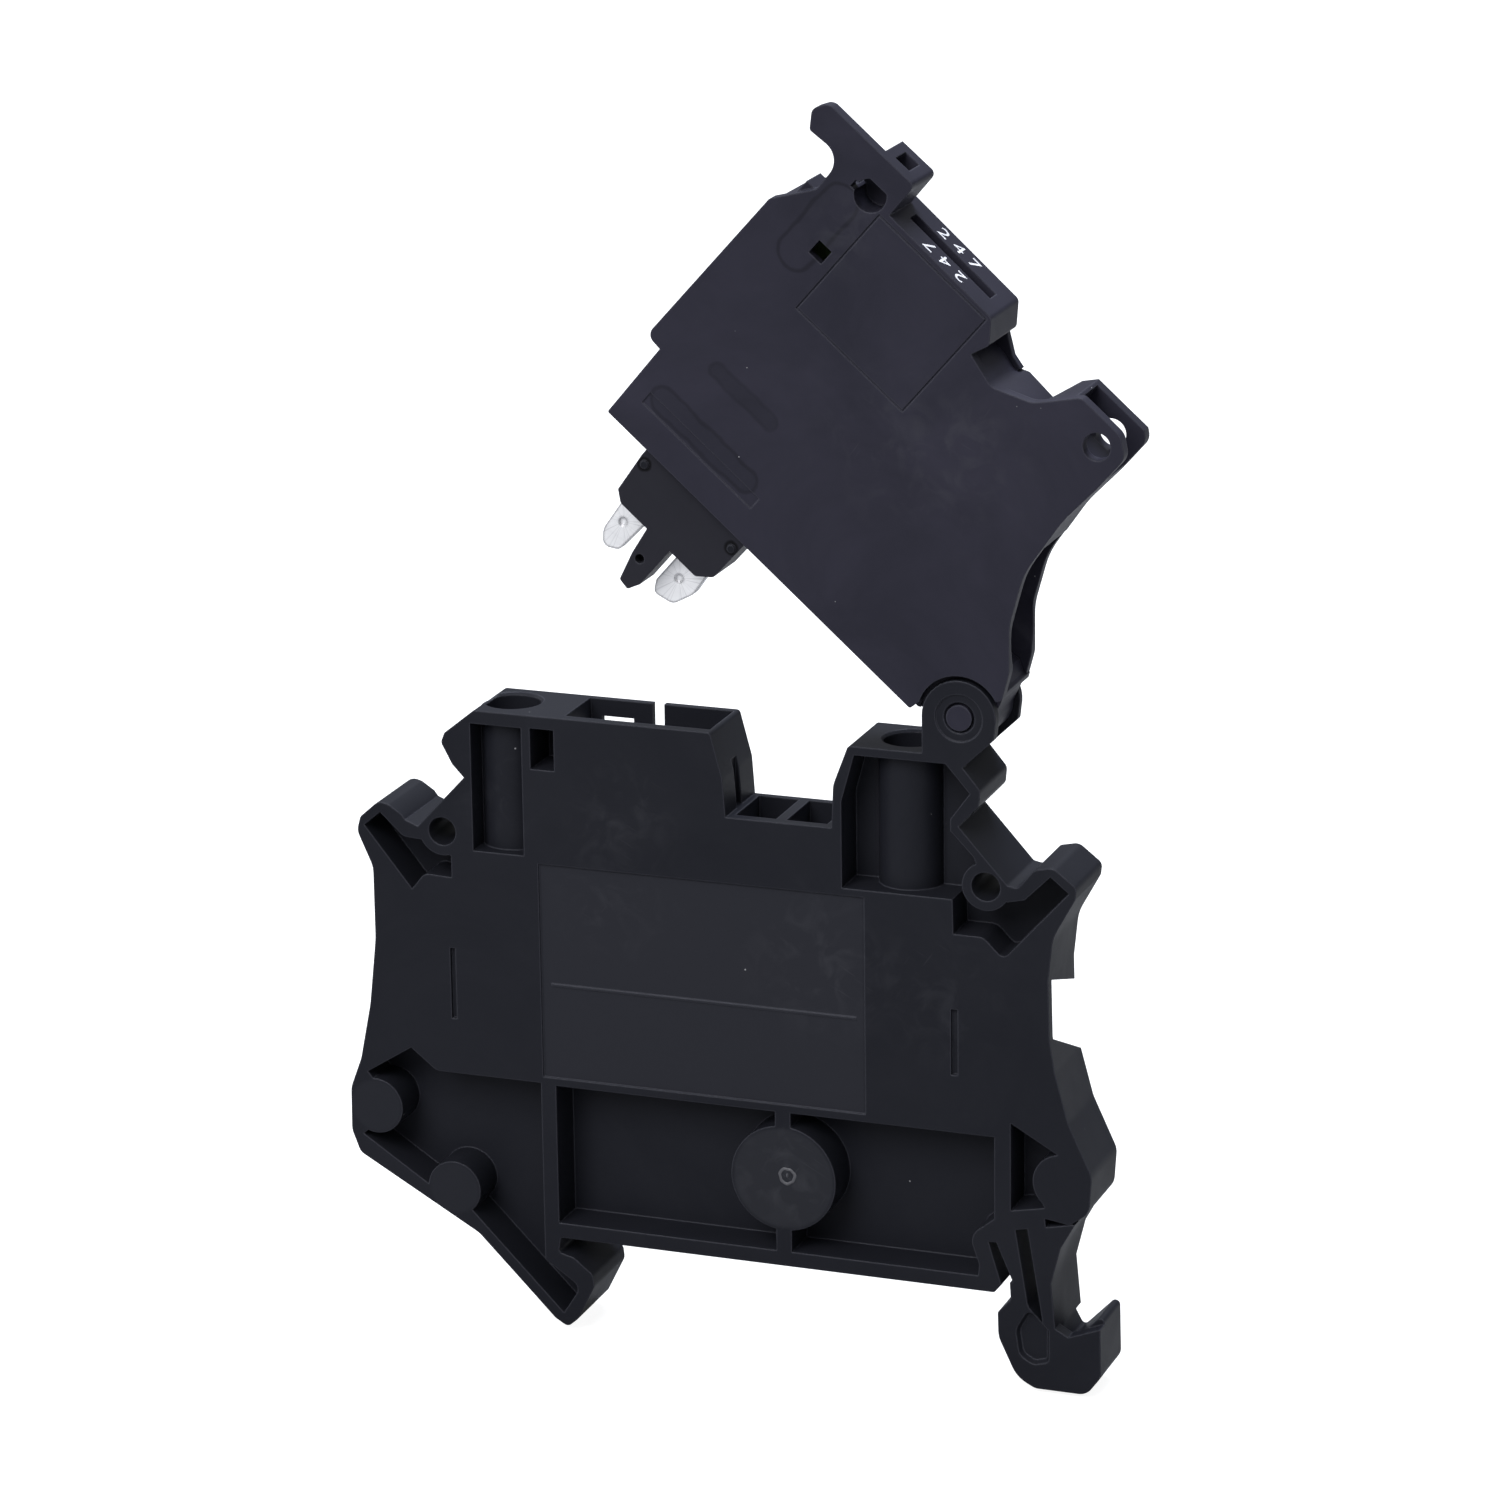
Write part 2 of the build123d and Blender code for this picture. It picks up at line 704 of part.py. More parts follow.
# Outline of the swing lever, drawn shut
lever_corners = (
    (-19.5, 41.1, 0.15),
    (-19.65, 47.4),
    (-21.0, 47.5, 0.7),
    (-20.85, 61.4, 0.4),
    (-18.8, 64.35, 0.6),
    (-18.9, 67.4, 1.45),
    (-21.2, 67.2, 0.4),
    (-21.9, 67.15, 0.3),
    (-22.75, 68.4, 0.6),
    (-22.1, 69.55, 0.8),
    (-17.1, 69.55),
    (-13.85, 69.6, 0.45),
    (-13.8, 66.75),
    (-3.8, 66.6, 0.5),
    (-2.6, 65.0, 0.4),
    (-3.15, 63.6),
    (-0.6, 62.9, 1.0),
    (2.3, 64.2, 2.0),
    (4.5, 67.0, 0.6),
    (8.3, 67.0, 1.2),
    (9.6, 66.0, 1.0),
    (9.6, 63.0),
    (9.4, 59.5, 8.0),
    (9.95, 54.6, 6.0),
    (11.7, 51.0, 5.0),
    (14.0, 48.4, 2.0),
    (14.95, 46.5, 0.2),
    (14.0, 45.0),
    (11.0, 43.2),
    (10.6, 41.1, 0.2),
)
# Hollow of the lever, open at the hinge side for the fuse
hollow_corners = (
    (-18.7, 42.1),
    (-18.85, 48.3),
    (-20.1, 48.4),
    (-19.6, 61.2, 0.6),
    (-17.3, 64.9),
    (-4.9, 65.3),
    (-4.5, 62.3),
    (8.7, 62.3),
    (8.5, 59.5, 4.0),
    (9.0, 56.7),
    (17.0, 56.7),
    (17.0, 46.9),
    (12.6, 46.9, 0.5),
    (8.95, 44.6, 0.5),
    (8.95, 42.1),
)

# Lever: front plate, rim and inner ribs in one moulding
with BuildPart() as lever_housing:
    with BuildSketch(lever_plane(-half)):
        loop(*lever_corners)
    extrude(amount=-thickness)
    with BuildSketch(lever_plane(half)):
        loop(*hollow_corners)
    extrude(amount=thickness - front_wall, mode=Mode.SUBTRACT)
    # thin finger tab and the shorter block beside it
    with BuildSketch(lever_plane(half)):
        loop((-24.0, 71.0), (-17.1, 71.0), (-17.1, 65.8), (-18.1, 65.3), (-20.4, 61.9), (-20.9, 60.4), (-24.0, 60.4))
    extrude(amount=half + 2.0, mode=Mode.SUBTRACT)
    with BuildSketch(lever_plane(half)):
        rectangle(-17.2, -13.5, 66.75, 71.0)
    extrude(amount=1.5, mode=Mode.SUBTRACT)
    # the rim behind the notch and the eyes stands lower than the front plate
    with BuildSketch(lever_plane(half)):
        loop((-1.5, 63.35), (2.6, 63.15), (3.5, 66.0), (4.1, 66.5), (10.5, 66.5), (10.5, 68.0), (-1.5, 68.0))
    extrude(amount=half + 2.1, mode=Mode.SUBTRACT)
    with BuildSketch(lever_plane(-1.7)):
        rectangle(-16.3, -15.0, 67.6, 71.0)
    extrude(amount=-2.2, mode=Mode.SUBTRACT)
    # gap between the two eyes and the hole through each
    with BuildSketch(lever_plane(-2.1)):
        rectangle(4.4, 10.5, 63.7, 68.0)
    extrude(amount=-4.2, mode=Mode.SUBTRACT)
    with BuildSketch(lever_plane(-half)):
        with Locations((7.6, 65.2)):
            Circle(1.0)
    extrude(amount=-1.5, mode=Mode.SUBTRACT)
    with BuildSketch(lever_plane(half)):
        with Locations((7.4, 64.6)):
            Circle(1.1)
    extrude(amount=1.5, mode=Mode.SUBTRACT)
    # ribs that hold the carrier, the fuse and the board
    with BuildSketch(lever_plane(cover_inner)):
        rectangle(-16.7, -15.85, 41.4, 46.0)
        rectangle(-5.9, -4.9, 41.4, 43.5)
        rectangle(-16.0, -15.0, 43.05, 43.5)
        rectangle(-6.5, -5.6, 43.05, 43.5)
        rectangle(-10.0, fuse_right - cap_length - rib_room, 45.9, 47.6)
        rectangle(-10.0, -8.3, 52.4, 53.6)
        rectangle(-6.7, 6.2, 52.4, 53.6)
        rectangle(right_lead_x + rib_room, right_lead_x + rib_room + 1.4, 52.4, 56.7)
        rectangle(-19.6, -8.3, 56.6, 57.5)
        rectangle(-5.3, -3.5, 56.6, 57.5)
        rectangle(2.4, 3.2, 57.2, 62.6)
        rectangle(-4.4, -3.6, 57.0, 62.6)
        loop(
            (right_contact_x + contact_room, 41.3),
            (10.9, 41.3),
            (pivot_x, pivot_z),
            (15.3, 44.7),
            (14.75, 46.7),
            (13.6, 47.4),
            (right_contact_x + contact_room, 46.9),
        )
    extrude(amount=2 * cover_inner)
    with BuildSketch(lever_plane(board_y)):
        rectangle(-19.8, -16.9, 57.4, 64.0)
        rectangle(-5.1, -4.4, 57.4, 65.0)
    extrude(amount=board_y - inner_face)
    # fuse channel through the ribs and into the plates
    with BuildSketch(lever_section(fuse_x - fuse_length / 2 - 0.1, fuse_z)):
        Circle(fuse_channel_radius)
    extrude(amount=fuse_length + 8.0, mode=Mode.SUBTRACT)
    # mouth of the plug on the underside
    with BuildSketch(lever_plane(cover_inner)):
        rectangle(-15.85, -5.9, 40.5, 42.6)
    extrude(amount=2 * cover_inner, mode=Mode.SUBTRACT)
    # slot along the top face and the hollow under the end of it
    with BuildSketch(lever_plane(-0.7)):
        rectangle(-12.9, -5.0, 65.0, 67.0)
    extrude(amount=-1.4, mode=Mode.SUBTRACT)
    with BuildSketch(lever_plane(-2.1)):
        rectangle(-3.8, -1.4, 63.3, 64.8)
    extrude(amount=-(half + 2.1), mode=Mode.SUBTRACT)
    # keyed round hole and the small window over the board
    with BuildSketch(lever_plane(-half)):
        with Locations((-15.7, 66.8)):
            Circle(1.2)
        with Locations((-15.7, 68.35)):
            Rectangle(3.0, 1.3, mode=Mode.SUBTRACT)
        with Locations((-16.95, 66.6)):
            Rectangle(0.5, 0.6)
    extrude(amount=-2.6, mode=Mode.SUBTRACT)
    with BuildSketch(lever_plane(-half)):
        rectangle(-16.3, -15.1, 60.6, 61.8)
    extrude(amount=-1.0, mode=Mode.SUBTRACT)
    # shallow lines moulded into the front plate
    with BuildSketch(lever_plane(-half)):
        rectangle(-14.4, -3.95, 56.9, 66.3)
        with Locations((-9.175, 61.6)):
            Rectangle(10.21, 9.16, mode=Mode.SUBTRACT)
        rectangle(-18.1, -7.3, 43.5, 44.5)
    extrude(amount=-0.1, mode=Mode.SUBTRACT)
    # room for the base ears either side of the hinge barrel
    with BuildSketch(lever_plane(-half)):
        with Locations((pivot_x, pivot_z)):
            Circle(ear_cut_radius)
    extrude(amount=-(front_wall + barrel_side_gap), mode=Mode.SUBTRACT)
    with BuildSketch(lever_plane(half)):
        with Locations((pivot_x, pivot_z)):
            Circle(ear_cut_radius)
    extrude(amount=back_ear_wall + barrel_side_gap, mode=Mode.SUBTRACT)
    with BuildSketch(lever_plane(inner_face + barrel_side_gap)):
        with Locations((pivot_x, pivot_z)):
            Circle(barrel_radius)
    extrude(amount=-(half - back_ear_wall - inner_face - 2 * barrel_side_gap))
    with BuildSketch(lever_plane(0.05 - half)):
        with Locations((pivot_x, pivot_z)):
            Circle(hinge_pin_radius)
    extrude(amount=-(thickness - 0.1))
lever_housing.part.label = "lever_housing"
export_step(lever_housing.part, "parts/lever_housing.step")

# Lever cover: flat plate let into the rim on the open side
with BuildPart() as lever_cover:
    with BuildSketch(lever_plane(half)):
        loop(*hollow_corners)
        loop(*lever_corners, mode=Mode.INTERSECT)
        offset(amount=-cover_gap)
        with Locations((pivot_x, pivot_z)):
            Circle(ear_cut_radius, mode=Mode.SUBTRACT)
    extrude(amount=cover_thick)
    with BuildSketch(lever_section(fuse_x - fuse_length / 2 - 0.1, fuse_z)):
        Circle(fuse_channel_radius)
    extrude(amount=fuse_length + 8.0, mode=Mode.SUBTRACT)
lever_cover.part.label = "lever_cover"
export_step(lever_cover.part, "parts/lever_cover.step")

# Contact carrier with its keying tongue between the two blades
carrier_front = -1.95
carrier_back = 2.2
blade_front = metal_y - blade_thick / 2
blade_fit = 0.02
left_blade_x = (-14.85, -12.4)
right_blade_x = (-9.2, -6.65)
with BuildPart() as contact_carrier:
    with BuildSketch(lever_plane(carrier_front)):
        loop(
            (-15.8, 43.0),
            (-15.75, 40.0, 2.0),
            (-15.4, 36.8),
            (-14.6, 36.15, 0.5),
            (-11.95, 36.15),
            (-11.6, 34.0, 0.6),
            (-11.0, 31.8, 0.2),
            (-10.1, 31.65, 0.2),
            (-9.65, 32.6),
            (-9.65, 36.15),
            (-7.1, 36.15, 0.4),
            (-6.05, 37.1, 0.5),
            (-5.95, 43.0),
        )
    extrude(amount=-(carrier_back - carrier_front))
    with BuildSketch(lever_plane(carrier_back)):
        rectangle(-12.2, -9.2, 31.0, 36.15)
    extrude(amount=1.3, mode=Mode.SUBTRACT)
    with BuildSketch(lever_plane(carrier_front)):
        with Locations((-10.9, 34.05)):
            Circle(0.35)
    extrude(amount=-1.2, mode=Mode.SUBTRACT)
    with BuildSketch(lever_plane(blade_front - blade_fit)):
        rectangle(left_blade_x[0] - blade_fit, left_blade_x[1] + blade_fit, 36.0, 43.2)
        rectangle(right_blade_x[0] - blade_fit, right_blade_x[1] + blade_fit, 36.0, 43.2)
    extrude(amount=-(blade_thick + 2 * blade_fit), mode=Mode.SUBTRACT)
    with BuildSketch(lever_plane(carrier_front)):
        with Locations((-15.15, 39.65), (-6.5, 39.7)):
            Circle(0.3)
    extrude(amount=0.15)
contact_carrier.part.label = "contact_carrier"
export_step(contact_carrier.part, "parts/contact_carrier.step")

# Plug blades, each one strip with its own fuse contact bent across
with BuildPart() as blade_left:
    with BuildSketch(lever_plane(blade_front)):
        loop(
            (left_blade_x[0], 51.6),
            (left_blade_x[0], 36.0, 3.0),
            (-14.5, 32.9, 1.2),
            (-13.7, 31.9, 0.6),
            (-12.6, 32.6, 0.6),
            (left_blade_x[1], 36.0, 3.0),
            (left_blade_x[1], 48.4),
            (left_contact_x, 48.4),
            (left_contact_x, 51.6),
        )
    extrude(amount=-blade_thick)
    with BuildSketch(lever_plane(metal_y - 1.8)):
        rectangle(left_contact_x - 0.5, left_contact_x, 48.4, 51.6)
    extrude(amount=-3.6)
    with BuildSketch(lever_plane(blade_front)):
        with Locations((-13.75, 34.4)):
            Circle(0.35)
    extrude(amount=-0.12, taper=40, mode=Mode.SUBTRACT)
blade_left.part.label = "blade_left"
export_step(blade_left.part, "parts/blade_left.step")

with BuildPart() as blade_right:
    with BuildSketch(lever_plane(blade_front)):
        loop(
            (right_blade_x[0], 45.2),
            (right_blade_x[0], 33.0, 0.6),
            (-8.7, 32.1, 0.5),
            (-7.1, 32.5, 0.8),
            (-6.45, 34.2, 1.0),
            (right_blade_x[1], 36.2),
            (right_blade_x[1], 43.6, 0.3),
            (right_contact_x, 43.6),
            (right_contact_x, right_contact_z - 0.05),
            (right_contact_x - 1.4, right_contact_z - 0.05),
            (right_contact_x - 1.4, 45.2, 0.3),
        )
    extrude(amount=-blade_thick)
    with BuildSketch(lever_plane(metal_y - 1.8)):
        rectangle(fuse_right - cap_length, right_contact_x, right_contact_z - 0.55, right_contact_z)
    extrude(amount=-3.6)
    with BuildSketch(lever_plane(blade_front)):
        with Locations((-8.0, 34.3)):
            Circle(0.35)
    extrude(amount=-0.12, taper=40, mode=Mode.SUBTRACT)
blade_right.part.label = "blade_right"
export_step(blade_right.part, "parts/blade_right.step")

# Cartridge fuse lying along the lever
cap_bore_depth = cap_length - 0.5
glass_length = fuse_length - 1.0
with BuildPart() as fuse_tube:
    with BuildSketch(lever_section(fuse_x - glass_length / 2, fuse_z)):
        Circle(glass_radius)
        Circle(glass_bore, mode=Mode.SUBTRACT)
    extrude(amount=glass_length)
fuse_tube.part.label = "fuse_tube"
export_step(fuse_tube.part, "parts/fuse_tube.step")

with BuildPart() as fuse_cap_left:
    with BuildSketch(lever_section(fuse_left, fuse_z)):
        Circle(cap_radius)
    extrude(amount=cap_length)
    chamfer(fuse_cap_left.edges().filter_by(GeomType.CIRCLE).sort_by(Axis.X)[0], 0.2)
    with BuildSketch(lever_section(fuse_left + cap_length, fuse_z)):
        Circle(glass_radius + blade_fit)
    extrude(amount=-cap_bore_depth, mode=Mode.SUBTRACT)
fuse_cap_left.part.label = "fuse_cap_left"
export_step(fuse_cap_left.part, "parts/fuse_cap_left.step")

with BuildPart() as fuse_cap_right:
    with BuildSketch(lever_section(fuse_right - cap_length, fuse_z)):
        Circle(cap_radius)
    extrude(amount=cap_length)
    chamfer(fuse_cap_right.edges().filter_by(GeomType.CIRCLE).sort_by(Axis.X)[-1], 0.2)
    with BuildSketch(lever_section(fuse_right - cap_length, fuse_z)):
        Circle(glass_radius + blade_fit)
    extrude(amount=cap_bore_depth, mode=Mode.SUBTRACT)
fuse_cap_right.part.label = "fuse_cap_right"
export_step(fuse_cap_right.part, "parts/fuse_cap_right.step")

wire_radius = 0.15
with BuildPart() as fuse_wire:
    with BuildSketch(lever_section(fuse_x - glass_length / 2, fuse_z)):
        Circle(wire_radius)
    extrude(amount=glass_length)
fuse_wire.part.label = "fuse_wire"
export_step(fuse_wire.part, "parts/fuse_wire.step")

# Indicator board with its lamp, resistor and the two leads down to the fuse caps
with BuildPart() as indicator_board:
    with BuildSketch(lever_plane(board_y)):
        rectangle(-17.2, board_right, board_low, 64.6)
    extrude(amount=-board_thick)
indicator_board.part.label = "indicator_board"
export_step(indicator_board.part, "parts/indicator_board.step")

with BuildPart() as indicator_lamp:
    with BuildSketch(lever_plane(board_y)):
        loop((-9.9, 62.6), (-8.1, 62.6), (-8.1, 64.6, 0.85), (-9.9, 64.6, 0.85))
    extrude(amount=1.0)
indicator_lamp.part.label = "indicator_lamp"
export_step(indicator_lamp.part, "parts/indicator_lamp.step")

with BuildPart() as series_resistor:
    with BuildSketch(lever_plane(board_y)):
        rectangle(-13.4, -11.2, 60.0, 61.3)
    extrude(amount=0.55)
series_resistor.part.label = "series_resistor"
export_step(series_resistor.part, "parts/series_resistor.step")

lead_foot_z = fuse_z + cap_radius + 0.03
lead_top_z = board_low + 1.08
with BuildPart() as board_lead_left:
    with BuildSketch(lever_plane(board_y)):
        rectangle(left_lead_x, left_lead_x + lead_width, lead_foot_z, lead_top_z)
    extrude(amount=lead_thick)
board_lead_left.part.label = "board_lead_left"
export_step(board_lead_left.part, "parts/board_lead_left.step")

with BuildPart() as board_lead_right:
    with BuildSketch(lever_plane(board_y)):
        loop(
            (board_right - 1.5, lead_top_z),
            (board_right - 1.5, 54.8),
            (right_lead_x - lead_width, 54.8),
            (right_lead_x - lead_width, lead_foot_z),
            (right_lead_x, lead_foot_z),
            (right_lead_x, 55.8, 0.3),
            (board_right - 0.5, 55.8),
            (board_right - 0.5, lead_top_z),
        )
    extrude(amount=lead_thick)
board_lead_right.part.label = "board_lead_right"
export_step(board_lead_right.part, "parts/board_lead_right.step")
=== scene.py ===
from math import atan2, cos, pi, radians, sin

import bmesh
import bpy
from mathutils import Matrix, Vector


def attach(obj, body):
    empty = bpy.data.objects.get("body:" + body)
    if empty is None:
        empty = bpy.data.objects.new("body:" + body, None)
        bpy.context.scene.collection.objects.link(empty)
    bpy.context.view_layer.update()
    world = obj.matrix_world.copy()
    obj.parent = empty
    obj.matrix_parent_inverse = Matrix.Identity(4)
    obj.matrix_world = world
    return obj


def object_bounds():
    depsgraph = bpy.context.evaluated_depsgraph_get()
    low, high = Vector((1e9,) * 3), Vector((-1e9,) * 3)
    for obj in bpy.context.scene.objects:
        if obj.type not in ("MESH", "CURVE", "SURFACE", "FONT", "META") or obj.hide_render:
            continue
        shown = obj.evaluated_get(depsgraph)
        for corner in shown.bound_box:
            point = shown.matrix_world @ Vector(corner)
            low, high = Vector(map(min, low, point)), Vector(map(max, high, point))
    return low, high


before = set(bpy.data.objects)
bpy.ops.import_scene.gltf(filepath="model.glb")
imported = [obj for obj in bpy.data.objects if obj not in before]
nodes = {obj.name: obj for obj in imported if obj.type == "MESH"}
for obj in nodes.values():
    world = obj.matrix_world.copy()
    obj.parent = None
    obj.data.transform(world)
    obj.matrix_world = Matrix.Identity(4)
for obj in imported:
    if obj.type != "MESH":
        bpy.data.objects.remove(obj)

cad_low, cad_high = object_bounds()

# Millimetres to metres
mm = 0.001

# Depth of the closed side's outer face and of its label field, in millimetres
closed_face = -3.1
label_face = -3.0

# Shut lever to open lever: a turn about the hinge pin
pivot = Vector((13.6, 0.0, 43.2)) * mm
open_angle = radians(41.5)
shut_to_open = Matrix.Translation(pivot) @ Matrix.Rotation(open_angle, 4, "Y") @ Matrix.Translation(-pivot)


def swung(x, y, z):
    """Point of the shut lever, in millimetres, carried to the open lever in metres."""
    return shut_to_open @ (Vector((x, y, z)) * mm)


def on_lever(x, z, y=closed_face):
    """Place on the open lever, in millimetres, from where it lies on the shut one."""
    return swung(x, y, z) / mm


# Camera fitted to the photograph
camera_azimuth = radians(20.55)
camera_height = radians(17.0)
camera_roll = radians(-0.8)
camera_place = Vector((138.93, -379.39, 162.27)) * mm
camera_lens = 140.88
camera_film = 36


def make_camera():
    """Camera at the photograph's viewing angle."""
    look = Vector((
        -sin(camera_azimuth) * cos(camera_height),
        cos(camera_azimuth) * cos(camera_height),
        -sin(camera_height),
    ))
    level = look.cross(Vector((0, 0, 1))).normalized()
    upright = level.cross(look)
    right = level * cos(camera_roll) + upright * sin(camera_roll)
    up = upright * cos(camera_roll) - level * sin(camera_roll)
    data = bpy.data.cameras.new("camera")
    data.lens = camera_lens
    data.sensor_width = camera_film
    data.clip_start = 0.01
    data.clip_end = 20
    camera = bpy.data.objects.new("camera", data)
    turn = Matrix((right, up, -look)).transposed().to_4x4()
    camera.matrix_world = Matrix.Translation(camera_place) @ turn
    bpy.context.scene.collection.objects.link(camera)
    bpy.context.scene.camera = camera


make_camera()


# Small helpers for node trees
def place(tree, kind, **settings):
    """New node with some of its properties or inputs set."""
    node = tree.nodes.new(kind)
    for name, value in settings.items():
        if hasattr(node, name):
            setattr(node, name, value)
        else:
            node.inputs[name.replace("_", " ")].default_value = value
    return node


def math_node(tree, operation, first, second=0.0):
    """Math node fed by sockets or plain values."""
    node = place(tree, "ShaderNodeMath", operation=operation)
    for index, value in enumerate((first, second)):
        if hasattr(value, "links"):
            tree.links.new(value, node.inputs[index])
        else:
            node.inputs[index].default_value = value
    return node.outputs[0]


def remap(tree, value, low, high, out_low, out_high):
    """Map Range node from one span to another, clamped."""
    node = place(tree, "ShaderNodeMapRange")
    node.inputs["From Min"].default_value = low
    node.inputs["From Max"].default_value = high
    node.inputs["To Min"].default_value = out_low
    node.inputs["To Max"].default_value = out_high
    tree.links.new(value, node.inputs["Value"])
    return node.outputs["Result"]


def blend_colour(tree, factor, first, second):
    """Mix of two colours, each a socket or a plain value."""
    node = place(tree, "ShaderNodeMix", data_type="RGBA")
    tree.links.new(factor, node.inputs["Factor"])
    for name, value in (("A", first), ("B", second)):
        socket = [s for s in node.inputs if s.name == name and s.type == "RGBA"][0]
        if hasattr(value, "links"):
            tree.links.new(value, socket)
        else:
            socket.default_value = (*value, 1.0)
    return [s for s in node.outputs if s.type == "RGBA"][0]


def new_group(name, inputs, outputs):
    """Empty shader node group with named sockets."""
    group = bpy.data.node_groups.new(name, "ShaderNodeTree")
    for label, kind, value in inputs:
        socket = group.interface.new_socket(label, in_out="INPUT", socket_type=kind)
        if value is not None:
            socket.default_value = value
    for label, kind in outputs:
        group.interface.new_socket(label, in_out="OUTPUT", socket_type=kind)
    entry = group.nodes.new("NodeGroupInput")
    leave = group.nodes.new("NodeGroupOutput")
    return group, entry, leave


def object_point(tree):
    """Socket with the shaded point on the object."""
    return place(tree, "ShaderNodeTexCoord").outputs["Object"]


def from_centre(group, entry, point):
    """Offset of the shaded point from the group's own centre."""
    offset = place(group, "ShaderNodeVectorMath", operation="SUBTRACT")
    group.links.new(point, offset.inputs[0])
    group.links.new(entry.outputs["Centre"], offset.inputs[1])
    return offset.outputs["Vector"]


def split_vector(tree, vector):
    """Node that gives a vector's three parts."""
    parts = place(tree, "ShaderNodeSeparateXYZ")
    tree.links.new(vector, parts.inputs[0])
    return parts


def share_of_reach(group, entry, offset):
    """Distance from the group's own centre as a share of its reach."""
    length = place(group, "ShaderNodeVectorMath", operation="LENGTH")
    group.links.new(offset, length.inputs[0])
    return math_node(group, "DIVIDE", length.outputs["Value"], entry.outputs["Reach"])


# Effects shared by the finishes
def moulded_grain_group():
    """Fine grain of moulded plastic: a height and a slow cloud."""
    group, entry, leave = new_group(
        "moulded_grain",
        [("Grain Size", "NodeSocketFloat", 9000.0), ("Cloud Size", "NodeSocketFloat", 90.0)],
        [("Height", "NodeSocketFloat"), ("Cloud", "NodeSocketFloat")],
    )
    point = object_point(group)
    fine = place(group, "ShaderNodeTexNoise", Detail=3.0, Roughness=0.6)
    cloud = place(group, "ShaderNodeTexNoise", Detail=5.0, Roughness=0.62, Distortion=0.6)
    for noise, size, result in ((fine, "Grain Size", "Height"), (cloud, "Cloud Size", "Cloud")):
        group.links.new(point, noise.inputs["Vector"])
        group.links.new(entry.outputs[size], noise.inputs["Scale"])
        group.links.new(noise.outputs["Fac"], leave.inputs[result])
    return group


def dust_group():
    """Sparse pale specks of dust, as a mask."""
    group, entry, leave = new_group(
        "dust_specks",
        [("Speck Size", "NodeSocketFloat", 900.0), ("Cover", "NodeSocketFloat", 0.055)],
        [("Mask", "NodeSocketFloat")],
    )
    point = object_point(group)
    cells = place(group, "ShaderNodeTexVoronoi", feature="F1")
    sparse = place(group, "ShaderNodeTexNoise", Scale=420.0, Detail=1.0)
    group.links.new(point, cells.inputs["Vector"])
    group.links.new(point, sparse.inputs["Vector"])
    group.links.new(entry.outputs["Speck Size"], cells.inputs["Scale"])
    near = math_node(group, "LESS_THAN", cells.outputs["Distance"], entry.outputs["Cover"])
    some = math_node(group, "GREATER_THAN", sparse.outputs["Fac"], 0.66)
    group.links.new(math_node(group, "MULTIPLY", near, some), leave.inputs["Mask"])
    return group


def edge_mask_group():
    """Mask of the edges, found by comparing a rounded normal with the true one, and that rounded normal."""
    group, entry, leave = new_group(
        "edge_mask",
        [("Radius", "NodeSocketFloat", 0.0002), ("Strength", "NodeSocketFloat", 1.0)],
        [("Mask", "NodeSocketFloat"), ("Normal", "NodeSocketVector")],
    )
    rounded = place(group, "ShaderNodeBevel", samples=4)
    group.links.new(entry.outputs["Radius"], rounded.inputs["Radius"])
    true_normal = place(group, "ShaderNodeNewGeometry")
    dot = place(group, "ShaderNodeVectorMath", operation="DOT_PRODUCT")
    group.links.new(rounded.outputs["Normal"], dot.inputs[0])
    group.links.new(true_normal.outputs["Normal"], dot.inputs[1])
    edge = remap(group, dot.outputs["Value"], 0.99, 0.86, 0.0, 1.0)
    group.links.new(math_node(group, "MULTIPLY", edge, entry.outputs["Strength"]), leave.inputs["Mask"])
    group.links.new(rounded.outputs["Normal"], leave.inputs["Normal"])
    return group


def scuff_group_tree():
    """Pale straight hair scratches and soft haze that fade out round one place."""
    group, entry, leave = new_group(
        "scuffs",
        [
            ("Centre", "NodeSocketVector", None),
            ("Reach", "NodeSocketFloat", 0.005),
            ("Strength", "NodeSocketFloat", 0.5),
        ],
        [("Mask", "NodeSocketFloat")],
    )
    point = object_point(group)
    share = share_of_reach(group, entry, from_centre(group, entry, point))
    fade = remap(group, share, 0.2, 1.0, 1.0, 0.0)
    haze = place(group, "ShaderNodeTexNoise", Scale=420.0, Detail=4.0, Roughness=0.55, Distortion=1.2)
    group.links.new(point, haze.inputs["Vector"])
    total = remap(group, haze.outputs["Fac"], 0.48, 0.78, 0.0, 0.8)
    hair_length_and_width = (0.004, 1.0, 0.00022)
    for lean in (0.5, 2.2):
        turned = place(group, "ShaderNodeMapping", vector_type="TEXTURE")
        turned.inputs["Rotation"].default_value = (0.0, lean, 0.0)
        turned.inputs["Scale"].default_value = hair_length_and_width
        group.links.new(point, turned.inputs["Vector"])
        hairs = place(group, "ShaderNodeTexNoise", Scale=1.0, Detail=1.5)
        group.links.new(turned.outputs["Vector"], hairs.inputs["Vector"])
        hair = remap(group, hairs.outputs["Fac"], 0.70, 0.78, 0.0, 1.0)
        total = math_node(group, "MAXIMUM", total, hair)
    faded = math_node(group, "MULTIPLY", total, fade)
    group.links.new(math_node(group, "MULTIPLY", faded, entry.outputs["Strength"]), leave.inputs["Mask"])
    return group


